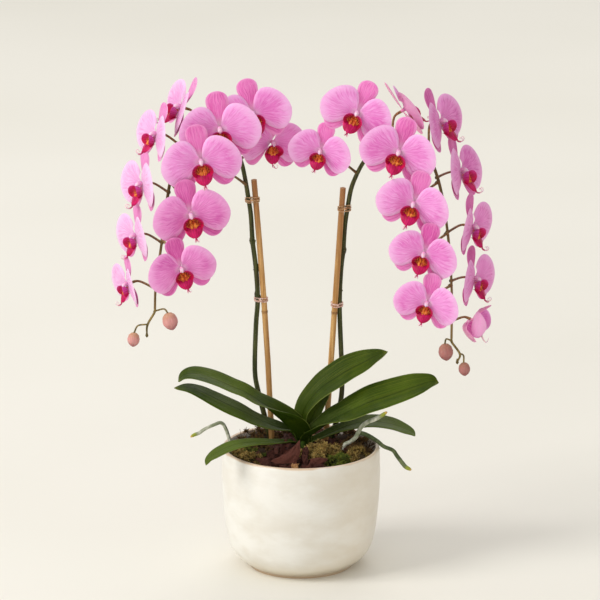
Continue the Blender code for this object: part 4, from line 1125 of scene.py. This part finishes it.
def make_buds(name, node, look, stem, buds):
    piece = Piece(name, [look, "stalk"])
    curve = catmull(mm(stem), 5)
    tube(piece, "stalk", curve, spread(len(curve), mm([1.35, 1.3, 0.9]), (0, 0.7, 1)))
    for stalk, tip, scale in buds:
        points = mm(stalk)
        tube(piece, "stalk", catmull(points, 5), 0.95 * MM, sides=8)
        top = points[-1] + unit(points[-1] - mm(tip)) * 0.5 * MM
        skin, spots = bud_rings(top, mm(tip), BUD_LENGTH * scale, BUD_WIDTH * scale)
        piece.add(skin, grid_faces(*BUD_GRID), spots, look)
        add_scale(piece, points[0], 3.0 * MM)
    for step in range(3):
        add_scale(piece, curve[-1] + np.array((0, 0, step * 1.6 * MM)), (3.4 - 0.7 * step) * MM)
    piece.make([node])


def add_scale(piece, spot, size):
    """A small papery scale at a joint of the growing tip."""

    def place(along, across):
        half = size * 0.5 * np.sin(math.pi * np.clip(0.15 + 0.85 * along, 0, 1)) ** 0.7
        return spot + stacked(half * across, mm(0.8) * across**2 - mm(1.4), size * (0.4 - 1.2 * along))

    blade(piece, "stalk", 5, 4, place, 0.4 * MM, FACE)


# Stakes and raffia.

STRANDS = 4


def at_height(points, height):
    """The point of a rising line at that height."""
    return np.array([np.interp(height, points[:, 2], points[:, axis]) for axis in range(3)])


def make_stake(name, node, route, seed):
    points = mm(route)
    heights = np.arange(points[0][2], points[-1][2], 1.5 * MM)
    line = np.array([at_height(points, height) for height in heights] + [points[-1]])
    ring = np.zeros(len(line))
    for knot in STAKE_KNOTS:
        ring = np.maximum(ring, np.exp(-(((line[:, 2] - knot * MM) / (1.3 * MM)) ** 2)))
    radii = STAKE_RADIUS * (1 + 0.15 * ring + 0.02 * ripple(line, 120, seed))
    share = (line[:, 2] - line[0][2]) / (line[-1][2] - line[0][2])
    piece = Piece(name, ["bamboo"])
    tube(piece, "bamboo", line, radii, sides=18, spots=stacked(share, 0.0, ring))
    piece.make([node])


def wrap_loop(stake_at, spike_at, slack, count=40):
    """Points round a stake and a stem side by side, a slack away from both."""
    along = unit(stake_at - spike_at)
    side = np.array((-along[1], along[0], 0.0))
    loop = []
    for centre, radius, start in ((stake_at, STAKE_RADIUS, -90), (spike_at, SPIKE_RADIUS, 90)):
        for angle in np.radians(start + np.linspace(0, 180, count // 2)):
            loop.append(centre + (along * math.cos(angle) + side * math.sin(angle)) * (radius + slack))
    return np.array(loop)


def make_tie(name, node, spike, stake, height, look):
    """Raffia: strands wrapped round the stem and its stake at different slants, and a knot in front."""
    chance = random.Random(height)
    rising = mm([row[:3] for row in spike[:14]])
    spike_at = at_height(catmull(rising, 4), height * MM)
    stake_at = at_height(mm(stake), height * MM)
    piece = Piece(name, [look])
    for strand in range(STRANDS):
        loop = wrap_loop(stake_at, spike_at, (0.55 + 0.25 * (strand % 2)) * MM)
        slant = chance.uniform(-1.6, 1.6) * MM
        rise = (strand - (STRANDS - 1) / 2) * 1.35 * MM + chance.uniform(-0.3, 0.3) * MM
        turn = np.linspace(0, 2 * np.pi, len(loop), endpoint=False)
        loop[:, 2] += rise + slant * np.cos(turn + chance.uniform(-0.5, 0.5))
        spots = stacked(np.linspace(0, 1, len(loop) + 1), strand * 0.31, 0.0)
        tube(piece, look, loop, 0.85 * MM, sides=8, spots=spots, flatten=0.5, closed=True)
    front = (spike_at + stake_at) / 2 + np.array((0, -STAKE_RADIUS - 1.1 * MM, 0))
    knot = front + mm([(-1.8, 0.2, 1.2), (-0.6, -0.9, 0.4), (0.7, -0.8, -0.5), (1.9, 0.3, -1.3)])
    tube(piece, look, catmull(knot, 3), spread(10, mm([0.5, 1.3, 0.5])), sides=8)
    for side in (-1, 1):
        rise = 2.2 + chance.uniform(0, 1.2)
        end = front + mm([(0.4 * side, -0.6, 0), (1.8 * side, -1.4, 1.2), (3.2 * side, -1.0, rise)])
        tube(piece, look, catmull(end, 3), np.linspace(0.6, 0.35, 7) * MM, sides=6, flatten=0.5)
    piece.make([node])


# Leaves and roots.

# A leaf is folded up to the first share of its length and open from the second.
LEAF_OPENS = (0.1, 0.5)
# Leaves that take the paler copy of the leaf look: painted light.
LIT_LEAVES = ("front_left", "back_right")
LEAF_GRID = (60, 28)


def leaf_half_width(along, width, outline):
    """Half a leaf's width at that share of its length, by its outline."""
    curve = catmull(outline, 6)
    return width / 2 * np.maximum(np.interp(along, curve[:, 0], curve[:, 1]), 0)


def leaf_place(route, width, outline, roll_start, roll_end, fold_start, fold_end, seed):
    """A strap leaf along its midrib, folded up at its base, with a slightly waved margin."""
    points = catmull(mm(route), 8)
    last = len(points) - 1
    tangents = unit(np.gradient(points, axis=0))
    front = unit(np.cross(tangents, (0.0, 0.0, 1.0)))
    front *= np.where(front[:, 1:2] > 0, -1, 1)
    up = np.cross(front, tangents)
    up *= np.where(up[:, 2:3] < 0, -1, 1)

    def sample(values, spot):
        return stacked(*(np.interp(spot, np.arange(last + 1), values[:, axis]) for axis in range(3)))

    def place(along, across):
        along = 1 - (1 - along) ** 1.5
        centre, front_at, up_at = (sample(values, along * last) for values in (points, front, up))
        roll = np.radians(roll_start + (roll_end - roll_start) * along)[..., None]
        closed = np.clip((LEAF_OPENS[1] - along) / (LEAF_OPENS[1] - LEAF_OPENS[0]), 0, 1)
        fold = np.radians(fold_end + (fold_start - fold_end) * closed**2 * (3 - 2 * closed))
        side = front_at * np.cos(roll) - up_at * np.sin(roll)
        normal = up_at * np.cos(roll) + front_at * np.sin(roll)
        half = leaf_half_width(along, width * MM, outline)
        # The fold is rounded where the halves meet, and the midrib is a groove that fades toward the tip.
        rise = half * (np.sqrt(across**2 + 0.003) - 0.055) * np.sin(fold)
        groove = 0.5 * MM * np.exp(-((across / 0.06) ** 2)) * (1 - along)
        rise = rise + 0.06 * half * across**2 - groove
        wave = 0.6 * MM * np.abs(across) ** 3 * ripple(centre, 55, seed)
        return centre + side * (half * across * np.cos(fold))[..., None] + normal * (rise + wave)[..., None]

    return place


def make_leaves():
    piece = Piece("leaves", ["leaf", "leaf_lit", "crown"])
    for seed, (name, row) in enumerate(LEAVES.items()):
        look = "leaf_lit" if name in LIT_LEAVES else "leaf"
        blade(piece, look, *LEAF_GRID, leaf_place(*row, seed), LEAF_THICKNESS, (0, -0.6, 0.8), rim=8)
    crown = mm([(-1, -1, 114), (-1, -1, 121), (-1, -1, 128), (-0.5, -0.5, 136), (0, 0, 142)])
    tube(piece, "crown", catmull(crown, 3), spread(13, mm([6.5, 7.2, 7.5, 6.8, 4.5])), sides=18)
    piece.make(["leaf_rosette"])


def root_tube(piece, route, shade, seed, size=1.0):
    points = catmull(mm(route), 6)
    radii = size * ROOT_RADIUS * spread(len(points), (1.0, 0.96, 0.85, 0.45), (0, 0.9, 0.96, 1.0))
    radii = radii * (1 + 0.1 * ripple(points, 260, seed))
    spots = stacked(np.linspace(0, 1, len(points)), shade, 0.0)
    tube(piece, "root", points, radii, sides=16, spots=spots)


def make_roots():
    left = Piece("air_root_left", ["root"])
    root_tube(left, LEFT_ROOT, 0.12, 1, 0.84)
    left.make(["root_left"])
    right = Piece("air_roots_right", ["root"])
    root_tube(right, RIGHT_ROOT, 0.0, 2)
    root_tube(right, RIGHT_BRANCH, 1.0, 3)
    right.make(["root_right"])


# Pot, bark, moss and twigs.

POT_STEPS = 144
BED_STEPS = 96
CHIP_GRID = (7, 5)
CORE_GRID = (8, 32)


def lathe(piece, look, profile, steps, wobble=0.0):
    """Turns (radius, height) points about Z; wobble makes it slightly uneven, as thrown by hand."""
    profile = np.asarray(profile, float)
    angle = np.linspace(0, 2 * np.pi, steps + 1)
    uneven = 1 + wobble * (np.sin(2 * angle + 0.6) + 0.6 * np.sin(3 * angle + 2.1)) / 2
    uneven[-1] = uneven[0]
    radius, height = profile[:, :1], profile[:, 1:]
    points = stacked(radius * np.cos(angle) * uneven, radius * np.sin(angle) * uneven, height)
    piece.add(points, grid_faces(len(profile) - 1, steps), (0, 0, 0), look)


def make_pot():
    outside = catmull(mm(POT_OUTSIDE[1:-1]), 6)
    rim = mm([(87.0, 134.6), (86.4, 135.7), (85.3, 136.0), (84.0, 136.0), (83.0, 135.6), (82.7, 134.6)])
    inside = catmull(mm(POT_INSIDE), 5)[1:]
    profile = np.concatenate([mm([(0, 0), (56.8, 0)]), outside, rim, inside])
    piece = Piece("pot_glazed", ["glaze"])
    lathe(piece, "glaze", profile, POT_STEPS, 0.004)
    piece.make(["pot"])


def bed_height(x, y):
    """The bark bed's surface in metres: highest in the middle, a little lower at the pot's wall."""
    radius = np.hypot(x, y)
    return np.interp(radius, mm([0, 30, 60, 82]), mm([136, 134, 129, 123]))


def make_soil():
    profile = mm([(0, 8.6), (61, 14), (73, 28.5), (79.4, 62), (82.0, 104), (82.1, 122), (80, 123)])
    piece = Piece("bark_bed", ["soil"])
    rings = mm(np.linspace(80, 0, 40))
    surface = stacked(rings, bed_height(rings, 0.0))
    lathe(piece, "soil", np.concatenate([profile, surface[1:]]), BED_STEPS)
    piece.make(["potting_bark"])


def add_chip(piece, corners, thickness, seed, kind):
    """A broken slab of bark between four corners (mm, in order round it), with rough faces."""
    chance = np.random.default_rng(seed)
    first, second, third, fourth = (mm(corner) for corner in corners)
    u, v = grid(0, 0, *CHIP_GRID)
    ragged_u = u + 0.07 * np.sin(7 * v + chance.uniform(0, 6)) * np.abs(2 * u - 1) ** 3
    ragged_v = v + 0.07 * np.sin(6 * u + chance.uniform(0, 6)) * np.abs(2 * v - 1) ** 3
    share_u, share_v = ragged_u[..., None], ragged_v[..., None]
    near = first * (1 - share_u) + second * share_u
    far = fourth * (1 - share_u) + third * share_u
    middle = near * (1 - share_v) + far * share_v
    normal = unit(np.cross(second - first, fourth - first))
    border = np.maximum(np.abs(2 * u - 1) ** 12, np.abs(2 * v - 1) ** 12)
    faces = grid_faces(*CHIP_GRID)
    spots = stacked(2 * u - 1, 2 * v - 1, kind)
    for side in (1, -1):
        rough = 1 + chance.uniform(-0.45, 0.45, u.shape)
        points = middle + normal * (side * thickness / 2 * MM * (1 - border) * rough)[..., None]
        piece.add(points, faces[:, ::side], spots, "bark_chip")


def random_chip(chance, centre, size):
    """Corners of a tapered chip of that length and width, turned and tilted at random."""
    length, width = size
    taper, skew = chance.uniform(0.3, 1.0), chance.uniform(-0.3, 0.3) * width
    matrix = Matrix.Rotation(chance.uniform(0, 2 * math.pi), 4, "Z")
    matrix = matrix @ Matrix.Rotation(math.radians(chance.uniform(-42, 12)), 4, "Y")
    matrix = matrix @ Matrix.Rotation(math.radians(chance.uniform(-32, 32)), 4, "X")
    end = width * taper
    flat = ((-length, -width), (length, skew - end), (length, skew + end), (-length, width))
    return [Vector(centre) + matrix @ Vector((x / 2, y / 2, 0)) for x, y in flat]


# The chips that stand out in front: four corners in mm, thickness and kind.
MAIN_CHIPS = [
    (((-32, -63, 137.5), (-4, -64, 132), (0, -42, 155.5), (-12, -48, 146.5)), 5.0, 0.7),
    (((-25, -32, 133), (-19, -33, 134), (-14.5, -21, 151.5), (-18.5, -21, 149)), 4.0, 0.6),
    (((-50, -59, 140), (-43, -67, 133), (-33, -67, 132.5), (-34, -58, 140)), 4.5, 0.5),
    (((-38, -45, 143), (-36, -52, 133), (-28, -52, 134), (-29, -44, 146)), 4.5, 0.2),
    (((8, -65, 131.5), (22, -65, 133), (31, -58, 140.5), (10, -58, 139)), 4.5, 0.7),
    (((12, -73, 131), (28, -72, 131.5), (26, -69, 135.5), (14, -69, 136)), 4.0, 0.4),
    (((-11, -71, 132.5), (-3.5, -72, 131.5), (-2, -67, 136), (-10, -67, 136)), 3.5, 1.0),
    (((0, -50, 137), (9, -50, 139), (8, -43, 148), (2, -43, 147)), 4.0, 0.2),
    (((-24, -74, 130), (-14, -75, 130), (-15, -70, 135.5), (-24, -69, 136)), 4.0, 0.3),
    (((3, -62, 134), (9, -60, 134), (7, -54, 143), (1, -55, 142)), 4.0, 0.5),
    (((-44, -70, 130), (-33, -73, 130), (-32, -70, 135), (-42, -66, 136)), 4.0, 0.3),
]
MAIN_CHIP_SEED = 300
CHIP_COUNT = 125
CHIP_SEED = 21
CHIP_REACH = 72


def make_chips():
    piece = Piece("bark_chips", ["bark_chip"])
    for index, (corners, thickness, kind) in enumerate(MAIN_CHIPS):
        add_chip(piece, corners, thickness, MAIN_CHIP_SEED + index, kind)
    chance = random.Random(CHIP_SEED)
    for index in range(CHIP_COUNT):
        radius, bearing = CHIP_REACH * math.sqrt(chance.uniform(0.02, 1)), chance.uniform(0, 2 * math.pi)
        x, y = radius * math.cos(bearing), radius * math.sin(bearing)
        size = (chance.uniform(11, 22), chance.uniform(7, 13))
        centre = (x, y, float(bed_height(x * MM, y * MM)) / MM + chance.uniform(0, 3))
        kind = chance.uniform(0, 1) if index % 12 == 0 else chance.uniform(0, 0.9)
        add_chip(piece, random_chip(chance, centre, size), chance.uniform(3, 6), index, kind)
    piece.make(smooth=False)


# Moss cushions: material, centre and radii in mm, number of tufts.
MOSS = [
    ("moss_gold", (22, -30, 132), (24, 24, 15), 96),
    ("moss_green", (42, -50, 129), (17, 14, 11), 48),
    ("moss_gold", (64, -32, 128), (15, 22, 12), 46),
    ("moss_brown", (60, 2, 129), (20, 26, 15), 50),
    ("moss_gold", (-57, -42, 127), (20, 16, 11), 46),
    ("moss_green", (-42, -36, 127), (14, 10, 9), 16),
    ("moss_brown", (-46, 40, 128), (28, 34, 14), 58),
    ("moss_brown", (6, 58, 126), (42, 18, 13), 44),
    ("moss_brown", (-68, 12, 127), (13, 22, 13), 34),
    ("moss_gold", (-68, -22, 126), (12, 18, 11), 34),
    ("moss_green", (-58, -12, 127), (14, 14, 9), 24),
    ("moss_brown", (-40, -6, 129), (18, 16, 9), 22),
    ("moss_brown", (50, 42, 128), (26, 20, 13), 32),
]
SPRIGS_PER_TUFT = 44
MOSS_LIMIT = 79 * MM


def moss_tufts(piece, look, centre, radii, tufts, seed):
    """Fine curled sprigs that stand out of small tufts all over a low cushion."""
    chance = np.random.default_rng(seed)
    heading = unit(chance.normal(size=(tufts, 3)) + (0, 0, 0.3))
    heading[:, 2] = np.abs(heading[:, 2])
    heart = mm(centre) + heading * mm(radii) * chance.uniform(0.6, 1.0, tufts)[:, None]
    inside = np.hypot(heart[:, 0], heart[:, 1]) < MOSS_LIMIT - 3 * MM
    heading = np.repeat(heading[inside], SPRIGS_PER_TUFT, axis=0)
    heart = np.repeat(heart[inside], SPRIGS_PER_TUFT, axis=0)
    shade = np.repeat(chance.uniform(0, 0.5, inside.sum()), SPRIGS_PER_TUFT)
    count = len(heart)
    lean = unit(heading * 0.7 + chance.normal(scale=0.7, size=(count, 3)))
    curl_way = unit(np.cross(lean, chance.normal(size=(count, 3))))
    reach = chance.uniform(3.0, 6.5, count)[:, None] * MM
    radius = chance.uniform(0.35, 0.62, count)[:, None] * MM
    side = unit(np.cross(lean, curl_way))
    share = np.array((0.0, 0.34, 0.68, 1.0))
    rings = []
    for at, wide in zip(share, (0.8, 1.0, 0.8, 0.25)):
        middle = heart + reach * (lean * (at - 0.25 * at**3) + curl_way * 0.55 * at**2)
        for turn in np.radians((90, 210, 330)):
            rings.append(middle + (curl_way * math.cos(turn) + side * math.sin(turn)) * radius * wide)
    points = np.stack(rings, axis=1)
    quads = []
    for low in (0, 3, 6):
        for corner, following in ((0, 1), (1, 2), (2, 0)):
            quads.append((low + corner, low + following, low + 3 + following, low + 3 + corner))
    spots = np.zeros((count, 4, 3, 3))
    spots[..., 0] = share[None, :, None]
    spots[..., 1] = (shade + chance.uniform(0, 0.5, count))[:, None, None]
    first = np.arange(count)[:, None, None] * 12
    faces = (np.array(quads)[None] + first).reshape(-1, 4).tolist()
    faces += (np.array([(2, 1, 0), (9, 10, 11)])[None] + first).reshape(-1, 3).tolist()
    piece.add(points.reshape(-1, 3), faces, spots.reshape(-1, 3), look)


def moss_core(piece, look, centre, radii):
    """The cushion under the tufts, dark with painted shade."""
    tilt, turn = grid(0, 0, *CORE_GRID)
    tilt, turn = tilt * math.pi / 2, turn * 2 * math.pi
    heading = stacked(np.sin(tilt) * np.cos(turn), np.sin(tilt) * np.sin(turn), np.cos(tilt))
    points = mm(centre) + heading * mm(radii) * 0.6
    reach = np.hypot(points[..., 0], points[..., 1])
    points[..., :2] *= np.minimum(1, MOSS_LIMIT / reach)[..., None]
    low = points[-1:] - (0, 0, 6 * MM)
    points = np.concatenate([points, low, np.broadcast_to(low.mean(1, keepdims=True), low.shape)])
    piece.add(points, grid_faces(CORE_GRID[0] + 2, CORE_GRID[1]), (0, 0, 0), look)


def make_moss():
    for look in ("moss_gold", "moss_green", "moss_brown"):
        piece = Piece(look + "_cushions", [look])
        for seed, (kind, centre, radii, tufts) in enumerate(MOSS):
            if kind == look:
                moss_core(piece, look, centre, radii)
                moss_tufts(piece, look, centre, radii, tufts, seed)
        piece.make(weld=0.0005 * MM)


# Dry twigs and moss stalks: where they start, where they end (mm), and thickness.
TWIGS = [
    ((70, 6, 126), (84, 0, 141), 1.0), ((74, 2, 127), (78, -4, 143), 0.8),
    ((66, 8, 127), (72, 10, 146), 0.8), ((76, 8, 126), (88, 4, 136), 0.8),
    ((72, -2, 128), (86, -6, 133), 0.7), ((-62, 8, 126), (-70, 2, 146), 0.7),
    ((-58, 10, 126), (-60, 6, 148), 0.6), ((-66, 4, 126), (-78, -2, 142), 0.7),
    ((-52, 16, 128), (-54, 12, 152), 0.5), ((-64, 12, 126), (-68, 14, 151), 0.5),
    ((8, -50, 130), (26, -62, 134), 1.1), ((30, 10, 128), (44, 4, 144), 0.8),
]
TWIG_SEED = 60


def make_twigs():
    piece = Piece("twigs", ["twig"])
    for seed, (start, end, radius) in enumerate(TWIGS):
        chance = random.Random(seed + TWIG_SEED)
        start, end = mm(start), mm(end)
        bend = mm([chance.uniform(-2, 2), chance.uniform(-2, 2), chance.uniform(0, 3)])
        middle = (start + end) / 2 + bend
        curve = catmull([start, middle, end], 5)
        tube(piece, "twig", curve, np.linspace(radius, radius * 0.4, len(curve)) * MM, sides=6)
        fork = catmull([curve[5], curve[7] + mm([3, -2, 1]), curve[8] + mm([5, -4, 4])], 3)
        tube(piece, "twig", fork, np.linspace(radius * 0.6, radius * 0.25, len(fork)) * MM, sides=5)
    piece.make()


make_pot()
make_soil()
make_chips()
make_moss()
make_twigs()
make_leaves()
make_roots()
make_spike("stem_left", "spike_left", LEFT_SPIKE, LEFT_BLOOMS, LEFT_BRACTS)
make_spike("stem_right", "spike_right", RIGHT_SPIKE, [*RIGHT_BLOOMS, HALF_OPEN_BLOOM], RIGHT_BRACTS)
make_stake("cane_left", "stake_left", LEFT_STAKE, 1)
make_stake("cane_right", "stake_right", RIGHT_STAKE, 2)
for side_name, *routes in (("left", LEFT_SPIKE, LEFT_STAKE), ("right", RIGHT_SPIKE, RIGHT_STAKE)):
    for level, tie_look, tie_height in zip(("lower", "upper"), TIE_LOOKS, TIE_HEIGHTS[side_name]):
        tie = f"{side_name}_{level}"
        make_tie("raffia_" + tie, "tie_" + tie, *routes, tie_height, tie_look)
make_buds("bud_cluster_left", "buds_left", "bud", LEFT_BUD_STEM, LEFT_BUDS)
# The right buds take the darker copy: painted shade.
make_buds("bud_cluster_right", "buds_right", "bud_shaded", RIGHT_BUD_STEM, RIGHT_BUDS)
for number, bloom_row in enumerate(LEFT_BLOOMS + RIGHT_BLOOMS, 1):
    make_bloom(bloom_row, number)
make_half_open(HALF_OPEN_BLOOM)


# Floor, light and camera.

FLOOR_REACH = 12.0
WORLD_COLOUR = (1.0, 0.99, 0.97, 1.0)
WORLD_STRENGTH = 0.62


def make_floor():
    mesh = bpy.data.meshes.new("floor")
    corners = [(x * FLOOR_REACH, y * FLOOR_REACH, 0) for x, y in ((-1, -1), (1, -1), (1, 1), (-1, 1))]
    mesh.from_pydata(corners, [], [(0, 1, 2, 3)])
    floor = bpy.data.objects.new("floor", mesh)
    bpy.context.scene.collection.objects.link(floor)
    look = Shading("floor", 0.9)
    haze = look.noise(1.2, 2.0).ease(0.3, 0.7)
    look.colour(look.mix(haze, (238, 235, 226), (234, 231, 221)))
    mesh.materials.append(look.material)


def area_light(name, spot, target, width, height, power, colour):
    data = bpy.data.lights.new(name, "AREA")
    data.shape = "RECTANGLE"
    data.size, data.size_y = width, height
    data.energy = power
    data.color = colour
    light = bpy.data.objects.new(name, data)
    light.location = spot
    light.rotation_euler = (Vector(target) - Vector(spot)).to_track_quat("-Z", "Y").to_euler()
    bpy.context.scene.collection.objects.link(light)


def make_light():
    area_light("key", (-4.0, -1.7, 3.7), (0, 0, 0.25), 2.4, 2.4, 166, (1.0, 0.99, 0.975))
    area_light("fill", (-0.6, -4.6, 2.2), (0, 0, 0.25), 2.4, 2.4, 30, (1.0, 0.98, 0.96))
    area_light("back", (0.6, 3.2, 3.6), (0, 0, 0.3), 2.6, 1.6, 36, (1.0, 0.98, 0.95))
    world = bpy.data.worlds.new("studio")
    world.use_nodes = True
    inputs = world.node_tree.nodes["Background"].inputs
    inputs["Color"].default_value = WORLD_COLOUR
    inputs["Strength"].default_value = WORLD_STRENGTH
    bpy.context.scene.world = world


def make_camera():
    data = bpy.data.cameras.new("camera")
    data.lens = CAMERA_LENS
    camera = bpy.data.objects.new("camera", data)
    camera.location = CAMERA_SPOT
    direction = Vector(CAMERA_TARGET) - Vector(CAMERA_SPOT)
    camera.rotation_euler = direction.to_track_quat("-Z", "Y").to_euler()
    bpy.context.scene.collection.objects.link(camera)
    bpy.context.scene.camera = camera


make_floor()
make_light()
make_camera()
bpy.context.scene.view_settings.view_transform = "Standard"
